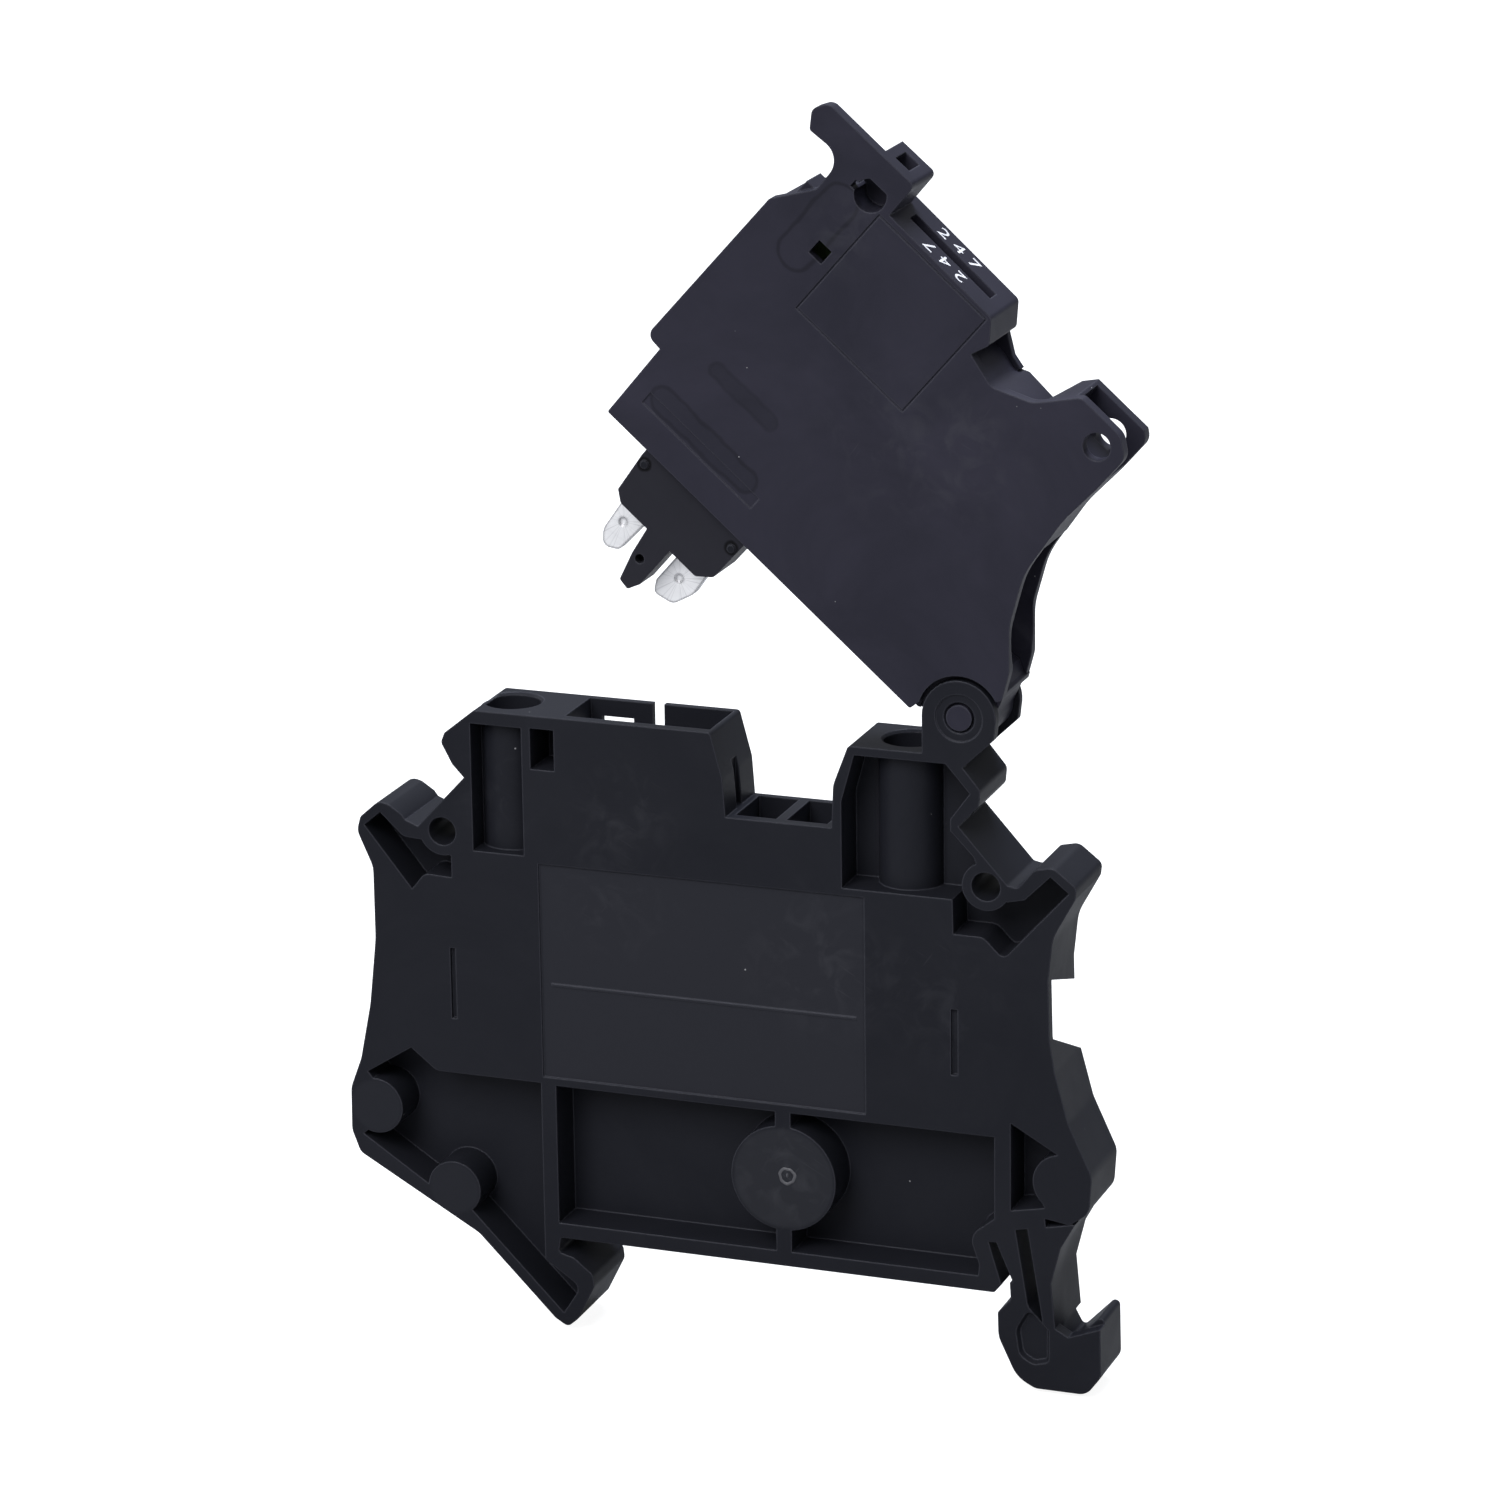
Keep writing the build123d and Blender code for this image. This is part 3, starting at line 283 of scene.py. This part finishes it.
def capsule_group_tree():
    """Faint wavy line along a round-ended loop on one flat face, and the share of the face inside it."""
    group, entry, leave = new_group(
        "round_ended_line",
        [
            ("Centre", "NodeSocketVector", None),
            ("Lean", "NodeSocketFloat", 0.0),
            ("Half Length", "NodeSocketFloat", 0.003),
            ("Radius", "NodeSocketFloat", 0.001),
            ("Width", "NodeSocketFloat", 0.0002),
        ],
        [("Line", "NodeSocketFloat"), ("Inside", "NodeSocketFloat")],
    )
    face_reach = 0.0008
    wave_height = 0.0006
    point = object_point(group)
    waver = place(group, "ShaderNodeTexNoise", Scale=500.0, Detail=2.0)
    group.links.new(point, waver.inputs["Vector"])
    turned = place(group, "ShaderNodeVectorRotate", rotation_type="Y_AXIS")
    group.links.new(from_centre(group, entry, point), turned.inputs["Vector"])
    group.links.new(entry.outputs["Lean"], turned.inputs["Angle"])
    parts = split_vector(group, turned.outputs["Vector"])
    along = math_node(group, "ABSOLUTE", parts.outputs["X"])
    past_end = math_node(group, "SUBTRACT", along, entry.outputs["Half Length"])
    past = math_node(group, "MAXIMUM", past_end, 0.0)
    past_square = math_node(group, "MULTIPLY", past, past)
    side_square = math_node(group, "MULTIPLY", parts.outputs["Z"], parts.outputs["Z"])
    distance = math_node(group, "SQRT", math_node(group, "ADD", past_square, side_square))
    depth = math_node(group, "SUBTRACT", distance, entry.outputs["Radius"])
    swing = math_node(group, "SUBTRACT", waver.outputs["Fac"], 0.5)
    wave = math_node(group, "MULTIPLY", swing, wave_height)
    off_line = math_node(group, "ABSOLUTE", math_node(group, "ADD", depth, wave))
    share = math_node(group, "DIVIDE", off_line, entry.outputs["Width"])
    near = math_node(group, "LESS_THAN", math_node(group, "ABSOLUTE", parts.outputs["Y"]), face_reach)
    line = remap(group, share, 0.3, 1.0, 1.0, 0.0)
    inside = remap(group, depth, -0.0002, 0.0001, 1.0, 0.0)
    group.links.new(math_node(group, "MULTIPLY", near, line), leave.inputs["Line"])
    group.links.new(math_node(group, "MULTIPLY", near, inside), leave.inputs["Inside"])
    return group


def field_group_tree():
    """Share of a flat upright field, with soft edges: its middle and half its width and height."""
    group, entry, leave = new_group(
        "flat_field",
        [
            ("Centre", "NodeSocketVector", None),
            ("Half Width", "NodeSocketFloat", 0.01),
            ("Half Height", "NodeSocketFloat", 0.005),
        ],
        [("Mask", "NodeSocketFloat")],
    )
    half_depth = 0.0004
    soft_edge = 0.0001
    parts = split_vector(group, from_centre(group, entry, object_point(group)))
    limits = (("X", entry.outputs["Half Width"]), ("Z", entry.outputs["Half Height"]), ("Y", half_depth))
    beyond = [
        math_node(group, "SUBTRACT", math_node(group, "ABSOLUTE", parts.outputs[axis]), limit)
        for axis, limit in limits
    ]
    worst = math_node(group, "MAXIMUM", math_node(group, "MAXIMUM", beyond[0], beyond[1]), beyond[2])
    group.links.new(remap(group, worst, -soft_edge, soft_edge, 1.0, 0.0), leave.inputs["Mask"])
    return group


def ray_group_tree():
    """Fine marks that run straight out from one point of a flat strip."""
    group, entry, leave = new_group(
        "rays",
        [("Centre", "NodeSocketVector", None), ("Reach", "NodeSocketFloat", 0.003)],
        [("Mask", "NodeSocketFloat")],
    )
    offset = from_centre(group, entry, object_point(group))
    share = share_of_reach(group, entry, offset)
    parts = split_vector(group, offset)
    angle = math_node(group, "ARCTAN2", parts.outputs["X"], parts.outputs["Z"])
    streaks = place(group, "ShaderNodeTexNoise", noise_dimensions="1D", Scale=9.0, Detail=3.0)
    group.links.new(angle, streaks.inputs["W"])
    lines = remap(group, streaks.outputs["Fac"], 0.56, 0.66, 0.0, 0.75)
    fade = remap(group, share, 0.25, 1.0, 1.0, 0.15)
    group.links.new(math_node(group, "MULTIPLY", lines, fade), leave.inputs["Mask"])
    return group


grain_group = moulded_grain_group()
scuff_group = scuff_group_tree()
capsule_group = capsule_group_tree()
field_group = field_group_tree()
ray_group = ray_group_tree()
specks_group = dust_group()
edge_finder_group = edge_mask_group()


def use_group(tree, group, **values):
    """Group node placed in a material with its own values."""
    node = tree.nodes.new("ShaderNodeGroup")
    node.node_tree = group
    for name, value in values.items():
        node.inputs[name.replace("_", " ")].default_value = value
    return node


def new_material(name):
    """Material with its shader, ready to be wired."""
    material = bpy.data.materials.new(name)
    material.use_nodes = True
    shader = material.node_tree.nodes["Principled BSDF"]
    return material, material.node_tree, shader


def grain_bump(tree, shader, grain, edge_finder, strength, height):
    """Fine grain laid over softened edges and led to the shader."""
    bump = place(tree, "ShaderNodeBump", Strength=strength, Distance=height * mm)
    tree.links.new(grain.outputs["Height"], bump.inputs["Height"])
    tree.links.new(edge_finder.outputs["Normal"], bump.inputs["Normal"])
    tree.links.new(bump.outputs["Normal"], shader.inputs["Normal"])


# Tints of the marks on the plastics and the plated metal, and of the painted highlight on the plastic edges
# and the painted shade on the metal rims
mark_inside_tint = (0.008, 0.009, 0.012)
mark_line_tint = (0.004, 0.004, 0.005)
scuff_tint = (0.060, 0.061, 0.070)
# Painted highlight: pale tint laid on the edges of the plastics
painted_edge_highlight_tint = (0.078, 0.080, 0.098)
dust_tint = (0.26, 0.26, 0.27)
pressed_ray_tint = (0.60, 0.60, 0.62)
# Painted shade: dark tint laid on the rims of the plated metal
painted_rim_shade_tint = (0.16, 0.16, 0.18)


def moulded_plastic(
    name, colour, pale, rough, grain_height, specular, scuffs=(), fields=(), capsules=(), discs=()
):
    """Anthracite moulded plastic with grain, faint clouds, mould lines, scuffs, painted highlights along the
    edges and dust.
    """
    material, tree, shader = new_material(name)
    grain = use_group(tree, grain_group)
    edge_finder = use_group(tree, edge_finder_group, Radius=0.17 * mm, Strength=0.7)
    dust = use_group(tree, specks_group)
    cloud = remap(tree, grain.outputs["Cloud"], 0.35, 0.7, 0.0, 1.0)
    body = blend_colour(tree, cloud, colour, pale)
    for centre, half_width, half_height, tint in fields:
        field = use_group(
            tree,
            field_group,
            Centre=Vector(centre) * mm,
            Half_Width=half_width * mm,
            Half_Height=half_height * mm,
        )
        body = blend_colour(tree, field.outputs["Mask"], body, tint)
    for centre, lean, half_length, radius, line, inside in capsules:
        capsule = use_group(
            tree,
            capsule_group,
            Centre=Vector(centre) * mm,
            Lean=lean,
            Half_Length=half_length * mm,
            Radius=radius * mm,
        )
        inside_share = math_node(tree, "MULTIPLY", capsule.outputs["Inside"], inside)
        body = blend_colour(tree, inside_share, body, mark_inside_tint)
        line_share = math_node(tree, "MULTIPLY", capsule.outputs["Line"], line)
        body = blend_colour(tree, line_share, body, mark_line_tint)
    for centre, radius, tint in discs:
        disc = use_group(
            tree,
            capsule_group,
            Centre=Vector(centre) * mm,
            Half_Length=0.0,
            Radius=radius * mm,
        )
        body = blend_colour(tree, disc.outputs["Inside"], body, tint)
    for centre, reach, strength in scuffs:
        scuff = use_group(
            tree,
            scuff_group,
            Centre=Vector(centre) * mm,
            Reach=reach * mm,
            Strength=strength,
        )
        body = blend_colour(tree, scuff.outputs["Mask"], body, scuff_tint)
    # Painted highlight: the edges of the plastic are lightened as if they caught light
    edge_highlight_share = math_node(tree, "MULTIPLY", edge_finder.outputs["Mask"], 0.8)
    edged = blend_colour(tree, edge_highlight_share, body, painted_edge_highlight_tint)
    dusty = blend_colour(tree, dust.outputs["Mask"], edged, dust_tint)
    tree.links.new(dusty, shader.inputs["Base Color"])
    roughness = remap(tree, grain.outputs["Cloud"], 0.3, 0.7, rough - 0.06, rough + 0.08)
    tree.links.new(roughness, shader.inputs["Roughness"])
    grain_bump(tree, shader, grain, edge_finder, 0.3, grain_height)
    shader.inputs["Specular IOR Level"].default_value = specular
    return material


def plated_metal(name, colour, dull, rough, metal=1.0, rays=(), rim=0.12):
    """Plated metal with fine grain, a slow tarnish, a painted shade along the rim and, where asked, marks out
    of a dimple.
    """
    material, tree, shader = new_material(name)
    grain = use_group(tree, grain_group, Grain_Size=2500.0, Cloud_Size=320.0)
    edge_finder = use_group(tree, edge_finder_group, Radius=rim * mm, Strength=1.0)
    cloud = remap(tree, grain.outputs["Cloud"], 0.3, 0.7, 0.0, 1.0)
    body = blend_colour(tree, cloud, colour, dull)
    for centre, reach in rays:
        ray = use_group(tree, ray_group, Centre=Vector(centre) * mm, Reach=reach * mm)
        body = blend_colour(tree, ray.outputs["Mask"], body, pressed_ray_tint)
    # Painted shade: the rims of the metal are darkened as if they lay in shade
    edged = blend_colour(tree, edge_finder.outputs["Mask"], body, painted_rim_shade_tint)
    tree.links.new(edged, shader.inputs["Base Color"])
    roughness = remap(tree, grain.outputs["Height"], 0.3, 0.7, rough - 0.08, rough + 0.12)
    tree.links.new(roughness, shader.inputs["Roughness"])
    grain_bump(tree, shader, grain, edge_finder, 0.4, 0.004)
    shader.inputs["Metallic"].default_value = metal
    return material


def clear_glass():
    """Thin clear glass of the fuse."""
    material, tree, shader = new_material("fuse_glass")
    grain = use_group(tree, grain_group, Grain_Size=1500.0, Cloud_Size=200.0)
    tree.links.new(remap(tree, grain.outputs["Cloud"], 0.3, 0.7, 0.02, 0.08), shader.inputs["Roughness"])
    shader.inputs["Base Color"].default_value = (0.92, 0.96, 0.94, 1.0)
    shader.inputs["Transmission Weight"].default_value = 1.0
    shader.inputs["IOR"].default_value = 1.47
    return material


def board_material():
    """Green glass fibre board with its weave."""
    material, tree, shader = new_material("board")
    weave = place(tree, "ShaderNodeTexBrick", Scale=1800.0)
    weave.inputs["Color1"].default_value = (0.13, 0.20, 0.07, 1.0)
    weave.inputs["Color2"].default_value = (0.16, 0.24, 0.09, 1.0)
    weave.inputs["Mortar"].default_value = (0.22, 0.30, 0.14, 1.0)
    tree.links.new(object_point(tree), weave.inputs["Vector"])
    tree.links.new(weave.outputs["Color"], shader.inputs["Base Color"])
    bump = place(tree, "ShaderNodeBump", Strength=0.3, Distance=0.01 * mm)
    tree.links.new(weave.outputs["Fac"], bump.inputs["Height"])
    tree.links.new(bump.outputs["Normal"], shader.inputs["Normal"])
    grain = use_group(tree, grain_group)
    tree.links.new(remap(tree, grain.outputs["Cloud"], 0.3, 0.7, 0.30, 0.45), shader.inputs["Roughness"])
    return material


def tinted_plastic(name, colour, pale, rough):
    """Plain small piece of lacquer, print or tinted plastic."""
    material, tree, shader = new_material(name)
    grain = use_group(tree, grain_group, Cloud_Size=700.0)
    cloud = remap(tree, grain.outputs["Cloud"], 0.35, 0.65, 0.0, 1.0)
    tree.links.new(blend_colour(tree, cloud, colour, pale), shader.inputs["Base Color"])
    roughness = remap(tree, grain.outputs["Cloud"], 0.3, 0.7, rough, rough + 0.1)
    tree.links.new(roughness, shader.inputs["Roughness"])
    return material


# Scuffs on the base: centre, reach and strength
base_scuffs = (
    ((0.0, closed_face, 6.85), 4.6, 0.60),
    ((3.0, label_face, 24.0), 7.0, 0.34),
    ((-13.0, label_face, 27.0), 6.0, 0.22),
    ((-12.0, label_face, 33.5), 5.0, 0.28),
    ((-22.0, label_face, 34.0), 4.0, 0.24),
    ((12.0, label_face, 22.0), 6.0, 0.22),
)
# Label field of the base, painted paler as a sheen of its smoother face: centre, half its width and height,
# and its tint
label_sheen_field = ((-6.2, label_face, 20.87), 12.5, 8.2, (0.0180, 0.0186, 0.0240))
# Paler round faces of the boss and the two left lobes: centre, radius and tint
lobe_tint = (0.0150, 0.0157, 0.0204)
base_discs = (
    ((0.0, closed_face, 6.85), 3.9, (0.0190, 0.0198, 0.0248)),
    ((-32.4, closed_face, 8.75), 2.05, lobe_tint),
    ((-26.2, closed_face, 2.9), 2.0, lobe_tint),
)
base_plastic = moulded_plastic(
    "base_plastic",
    (0.0102, 0.0108, 0.0148),
    (0.0126, 0.0132, 0.0175),
    rough=0.42,
    grain_height=0.012,
    specular=0.08,
    scuffs=base_scuffs,
    fields=(label_sheen_field,),
    discs=base_discs,
)

# Scuffs on the lever, with the same columns
lever_scuffs = (
    (on_lever(-3.0, 55.0), 8.0, 0.26),
    (on_lever(-15.5, 63.5), 4.0, 0.32),
    (on_lever(2.0, 58.0), 6.0, 0.28),
)
# Oval marks of the lever: centre, lean, half length, radius, and how dark the line and the inside are
lever_ovals = (
    (on_lever(-17.0, 62.4), radians(90.0) - open_angle, 2.4, 1.40, 0.40, 0.0),
    (on_lever(-13.0, 44.75), -open_angle, 4.0, 0.95, 0.35, 0.22),
    (on_lever(-13.0, 49.3), -open_angle, 2.6, 0.60, 0.20, 0.28),
)
lever_plastic = moulded_plastic(
    "lever_plastic",
    (0.0185, 0.0182, 0.0272),
    (0.0262, 0.0252, 0.0378),
    rough=0.42,
    grain_height=0.010,
    specular=0.08,
    scuffs=lever_scuffs,
    capsules=lever_ovals,
)

# Dark round marks of the carrier's two pins, with the same columns as the ovals
carrier_face = -1.95
carrier_pins = tuple(
    (on_lever(x, z, carrier_face), 0.0, 0.0, 0.42, 0.95, 0.75) for x, z in ((-15.15, 39.65), (-6.5, 39.7))
)
carrier_plastic = moulded_plastic(
    "carrier_plastic",
    (0.0175, 0.0177, 0.0230),
    (0.0210, 0.0205, 0.0270),
    rough=0.40,
    grain_height=0.008,
    specular=0.06,
    capsules=carrier_pins,
)

# Dimples of the two blades, from which the fine marks run
dimple_face = -0.2
ray_reach = 3.2
dimple_rays = tuple((on_lever(x, z, dimple_face), ray_reach) for x, z in ((-13.75, 34.4), (-8.0, 34.3)))
blade_metal = plated_metal(
    "plated_blade", (0.90, 0.90, 0.92), (0.80, 0.80, 0.82), rough=0.36, metal=0.50, rays=dimple_rays, rim=0.30
)
bar_metal = plated_metal("plated_bar", (0.74, 0.73, 0.71), (0.60, 0.59, 0.57), rough=0.34)
zinc_metal = plated_metal("zinc_steel", (0.62, 0.64, 0.68), (0.48, 0.50, 0.53), rough=0.36)
cap_metal = plated_metal("fuse_cap", (0.76, 0.75, 0.73), (0.62, 0.61, 0.60), rough=0.24)
wire_metal = plated_metal("fuse_wire", (0.70, 0.62, 0.52), (0.60, 0.52, 0.45), rough=0.35)

node_materials = {
    "housing": base_plastic,
    "lever_housing": lever_plastic,
    "lever_cover": lever_plastic,
    "contact_carrier": carrier_plastic,
    "blade_left": blade_metal,
    "blade_right": blade_metal,
    "busbar_left": bar_metal,
    "busbar_right": bar_metal,
    "fork_left": bar_metal,
    "fork_right": bar_metal,
    "clamp_sleeve_left": zinc_metal,
    "clamp_sleeve_right": zinc_metal,
    "clamp_screw_left": zinc_metal,
    "clamp_screw_right": zinc_metal,
    "fuse_tube": clear_glass(),
    "fuse_cap_left": cap_metal,
    "fuse_cap_right": cap_metal,
    "fuse_wire": wire_metal,
    "indicator_board": board_material(),
    "indicator_lamp": tinted_plastic("lamp", (0.50, 0.05, 0.04), (0.62, 0.09, 0.07), 0.15),
    "series_resistor": tinted_plastic("resistor", (0.02, 0.02, 0.02), (0.05, 0.05, 0.05), 0.4),
    "board_lead_left": wire_metal,
    "board_lead_right": wire_metal,
}
crease_angle = radians(28)
weld_reach = 0.000002


def shade_smooth(piece):
    """Every face of a piece shaded smooth."""
    for face in piece.data.polygons:
        face.use_smooth = True


def dress(piece, material):
    """Material on a CAD piece, smooth over its curves and sharp at its creases."""
    piece.data.materials.clear()
    piece.data.materials.append(material)
    shade_smooth(piece)
    weld = piece.modifiers.new("weld", "WELD")
    weld.merge_threshold = weld_reach
    crease = piece.modifiers.new("crease", "EDGE_SPLIT")
    crease.split_angle = crease_angle


for name, material in node_materials.items():
    dress(nodes[name], material)


def add_piece(name, form, material, body):
    """Finished mesh linked, dressed and put on its body."""
    bmesh.ops.recalc_face_normals(form, faces=form.faces)
    mesh = bpy.data.meshes.new(name)
    form.to_mesh(mesh)
    form.free()
    mesh.materials.append(material)
    piece = bpy.data.objects.new(name, mesh)
    bpy.context.scene.collection.objects.link(piece)
    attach(piece, body)
    return piece


# The lever's top face falls a little towards the hinge
top_face_tilt = 0.015
top_face_middle = (-13.8, 66.75)
print_lift = 0.006
digit_height = 2.0
digit_thickness = 0.003


def top_face_z(x):
    """Height of the print on the shut lever's top face, in millimetres, a hair above the plastic."""
    return top_face_middle[1] - (x - top_face_middle[0]) * top_face_tilt + print_lift


def printed_row(name, digits, first_x, pitch, y, turned):
    """Row of thin white printed digits on the lever's top face, read from the front or from the back."""
    form = bmesh.new()
    for index, digit in enumerate(digits):
        curve = bpy.data.curves.new(name, "FONT")
        curve.body = digit
        curve.size = digit_height * mm
        curve.extrude = digit_thickness * mm
        curve.align_x = "CENTER"
        curve.align_y = "CENTER"
        holder = bpy.data.objects.new(name, curve)
        bpy.context.scene.collection.objects.link(holder)
        bpy.context.view_layer.update()
        depsgraph = bpy.context.evaluated_depsgraph_get()
        glyph = bpy.data.meshes.new_from_object(holder.evaluated_get(depsgraph))
        bpy.data.objects.remove(holder)
        x = first_x + index * pitch
        spot = Matrix.Translation(Vector((x, y, top_face_z(x))) * mm)
        reading = Matrix.Rotation(pi if turned else 0.0, 4, "Z")
        glyph.transform(shut_to_open @ spot @ Matrix.Rotation(top_face_tilt, 4, "Y") @ reading)
        form.from_mesh(glyph)
        bpy.data.meshes.remove(glyph)
    add_piece(name, form, print_white, "lever")


print_white = tinted_plastic("print_white", (0.72, 0.72, 0.74), (0.60, 0.60, 0.62), 0.5)
printed_row("print_back", "247", first_x=-10.65, pitch=1.5, y=1.75, turned=False)
printed_row("print_front", "742", first_x=-10.4, pitch=1.48, y=-1.75, turned=True)


def undercut_wall():
    """Thin flat wall at the back of the lever's undercut, between its end and its inner floor."""
    near_y = 2.35
    thickness = 0.7
    outline = ((-3.3, 64.9), (-2.65, 64.4), (-1.35, 63.5), (-0.3, 63.25), (-0.6, 62.6), (-3.3, 62.6))
    form = bmesh.new()
    face = form.faces.new([form.verts.new(swung(x, near_y, z)) for x, z in outline])
    grown = bmesh.ops.extrude_face_region(form, geom=[face])
    far = [part for part in grown["geom"] if isinstance(part, bmesh.types.BMVert)]
    bmesh.ops.translate(form, vec=(0.0, thickness * mm, 0.0), verts=far)
    add_piece("undercut_wall", form, lever_plastic, "lever")


undercut_wall()


def gate_scar():
    """Low wavy ring with a torn nib in it, left by the moulding gate on the round boss."""
    centre = Vector((0.3, closed_face, 7.07)) * mm
    steps = 36
    form = bmesh.new()
    profile = [
        form.verts.new(centre + Vector((radius, -height, 0.0)) * mm)
        for radius, height in ((0.68, 0.0), (0.62, 0.05), (0.52, 0.045), (0.46, 0.0))
    ]
    section = profile + [form.edges.new(pair) for pair in zip(profile, profile[1:])]
    bmesh.ops.spin(
        form, geom=section, cent=centre, axis=(0, -1, 0), angle=2 * pi, steps=steps, use_merge=True
    )
    for corner in form.verts:
        offset = corner.co - centre
        turn = atan2(offset.z, offset.x)
        wobble = 1.0 + 0.05 * sin(3 * turn + 0.7) + 0.03 * sin(7 * turn)
        corner.co = centre + Vector((offset.x * wobble, offset.y, offset.z * wobble))
    nib = bmesh.ops.create_cone(
        form, cap_ends=True, segments=9, radius1=0.20 * mm, radius2=0.07 * mm, depth=0.09 * mm
    )
    spot = Matrix.Translation(centre + Vector((0.02, -0.03, 0.03)) * mm)
    lean = Matrix.Rotation(radians(96), 4, "X")
    stretch = Matrix.Diagonal((0.55, 1.25, 1.0, 1.0))
    bmesh.ops.transform(form, matrix=spot @ lean @ stretch, verts=nib["verts"])
    shade_smooth(add_piece("gate_scar", form, scar_plastic, "base"))


scar_plastic = moulded_plastic(
    "scar_plastic", (0.050, 0.050, 0.058), (0.12, 0.12, 0.13), rough=0.40, grain_height=0.02, specular=0.3
)
gate_scar()

# Floor, backdrop and light
floor_drop = 0.4 * mm
floor_half_size = 3.0
floor_grey = 0.28
floor_glow = 0.90


def white_rays(tree, glossy_share):
    """Share of the white backdrop that each kind of ray sees."""
    path = place(tree, "ShaderNodeLightPath")
    seen = math_node(tree, "MAXIMUM", path.outputs["Is Camera Ray"], path.outputs["Is Transmission Ray"])
    mirrored = math_node(tree, "MULTIPLY", path.outputs["Is Glossy Ray"], glossy_share)
    return math_node(tree, "MAXIMUM", seen, mirrored)


def stage_material():
    """Grey floor that looks plain white to the camera and keeps a faint shadow."""
    material, tree, shader = new_material("stage")
    shader.inputs["Base Color"].default_value = (floor_grey, floor_grey, floor_grey, 1.0)
    grain = use_group(tree, grain_group, Cloud_Size=3.0)
    tree.links.new(remap(tree, grain.outputs["Cloud"], 0.0, 1.0, 0.90, 0.98), shader.inputs["Roughness"])
    shader.inputs["Specular IOR Level"].default_value = 0.0
    glow = place(tree, "ShaderNodeEmission", Strength=floor_glow)
    glow_or_none = place(tree, "ShaderNodeMixShader")
    nothing = place(tree, "ShaderNodeEmission", Strength=0.0)
    tree.links.new(white_rays(tree, 0.1), glow_or_none.inputs["Fac"])
    tree.links.new(nothing.outputs[0], glow_or_none.inputs[1])
    tree.links.new(glow.outputs[0], glow_or_none.inputs[2])
    total = place(tree, "ShaderNodeAddShader")
    tree.links.new(shader.outputs[0], total.inputs[0])
    tree.links.new(glow_or_none.outputs[0], total.inputs[1])
    tree.links.new(total.outputs[0], tree.nodes["Material Output"].inputs["Surface"])
    return material


def make_floor():
    """Wide floor just under the foot."""
    mesh = bpy.data.meshes.new("floor")
    form = bmesh.new()
    bmesh.ops.create_grid(form, x_segments=1, y_segments=1, size=floor_half_size)
    bmesh.ops.translate(form, vec=(0, 0, cad_low.z - floor_drop), verts=form.verts)
    form.to_mesh(mesh)
    form.free()
    floor = bpy.data.objects.new("floor", mesh)
    bpy.context.scene.collection.objects.link(floor)
    mesh.materials.append(stage_material())


def make_world():
    """Soft cool light, stronger from above and from the front, weaker from the right, on plain white."""
    world = bpy.data.worlds.new("world")
    bpy.context.scene.world = world
    world.use_nodes = True
    tree = world.node_tree
    tree.nodes.clear()
    leave = place(tree, "ShaderNodeOutputWorld")
    parts = split_vector(tree, place(tree, "ShaderNodeTexCoord").outputs["Generated"])
    from_front = remap(tree, parts.outputs["Y"], 0.3, -0.8, 0.10, 0.42)
    from_above = remap(tree, parts.outputs["Z"], 0.15, 1.0, 0.0, 1.0)
    from_right = remap(tree, parts.outputs["X"], 0.0, 0.7, 1.0, 0.2)
    strength = math_node(tree, "ADD", math_node(tree, "MULTIPLY", from_front, from_right), from_above)
    light = place(tree, "ShaderNodeBackground", Color=(0.94, 0.97, 1.0, 1.0))
    tree.links.new(strength, light.inputs["Strength"])
    plain = place(tree, "ShaderNodeBackground", Color=(1.0, 1.0, 1.0, 1.0), Strength=1.0)
    mixed = place(tree, "ShaderNodeMixShader")
    glossy_share = remap(tree, parts.outputs["Y"], 0.3, -0.8, 0.05, 0.7)
    tree.links.new(white_rays(tree, glossy_share), mixed.inputs["Fac"])
    tree.links.new(light.outputs[0], mixed.inputs[1])
    tree.links.new(plain.outputs[0], mixed.inputs[2])
    tree.links.new(mixed.outputs[0], leave.inputs["Surface"])


# Lamps: name, offset from the object's middle, size, power and colour
lamps = (
    ("front", (-0.15, -0.62, 0.52), 0.45, 5.5, (1.0, 1.0, 1.0)),
    ("rim", (0.04, 0.30, 0.76), 0.40, 9.0, (0.82, 0.87, 1.0)),
    ("left", (-0.60, 0.10, 0.35), 0.40, 0.9, (0.95, 0.97, 1.0)),
)


def make_lamp(name, spot, target, size, power, colour):
    """Soft square lamp aimed at a point of the object."""
    data = bpy.data.lights.new(name, "AREA")
    data.energy = power
    data.size = size
    data.color = colour
    lamp = bpy.data.objects.new(name, data)
    aim = (target - spot).to_track_quat("-Z", "Y")
    lamp.matrix_world = Matrix.Translation(spot) @ aim.to_matrix().to_4x4()
    bpy.context.scene.collection.objects.link(lamp)


middle = (cad_low + cad_high) / 2
make_floor()
make_world()
for name, offset, size, power, colour in lamps:
    make_lamp(name, middle + Vector(offset), middle, size, power, colour)

bpy.context.scene.view_settings.view_transform = "Standard"
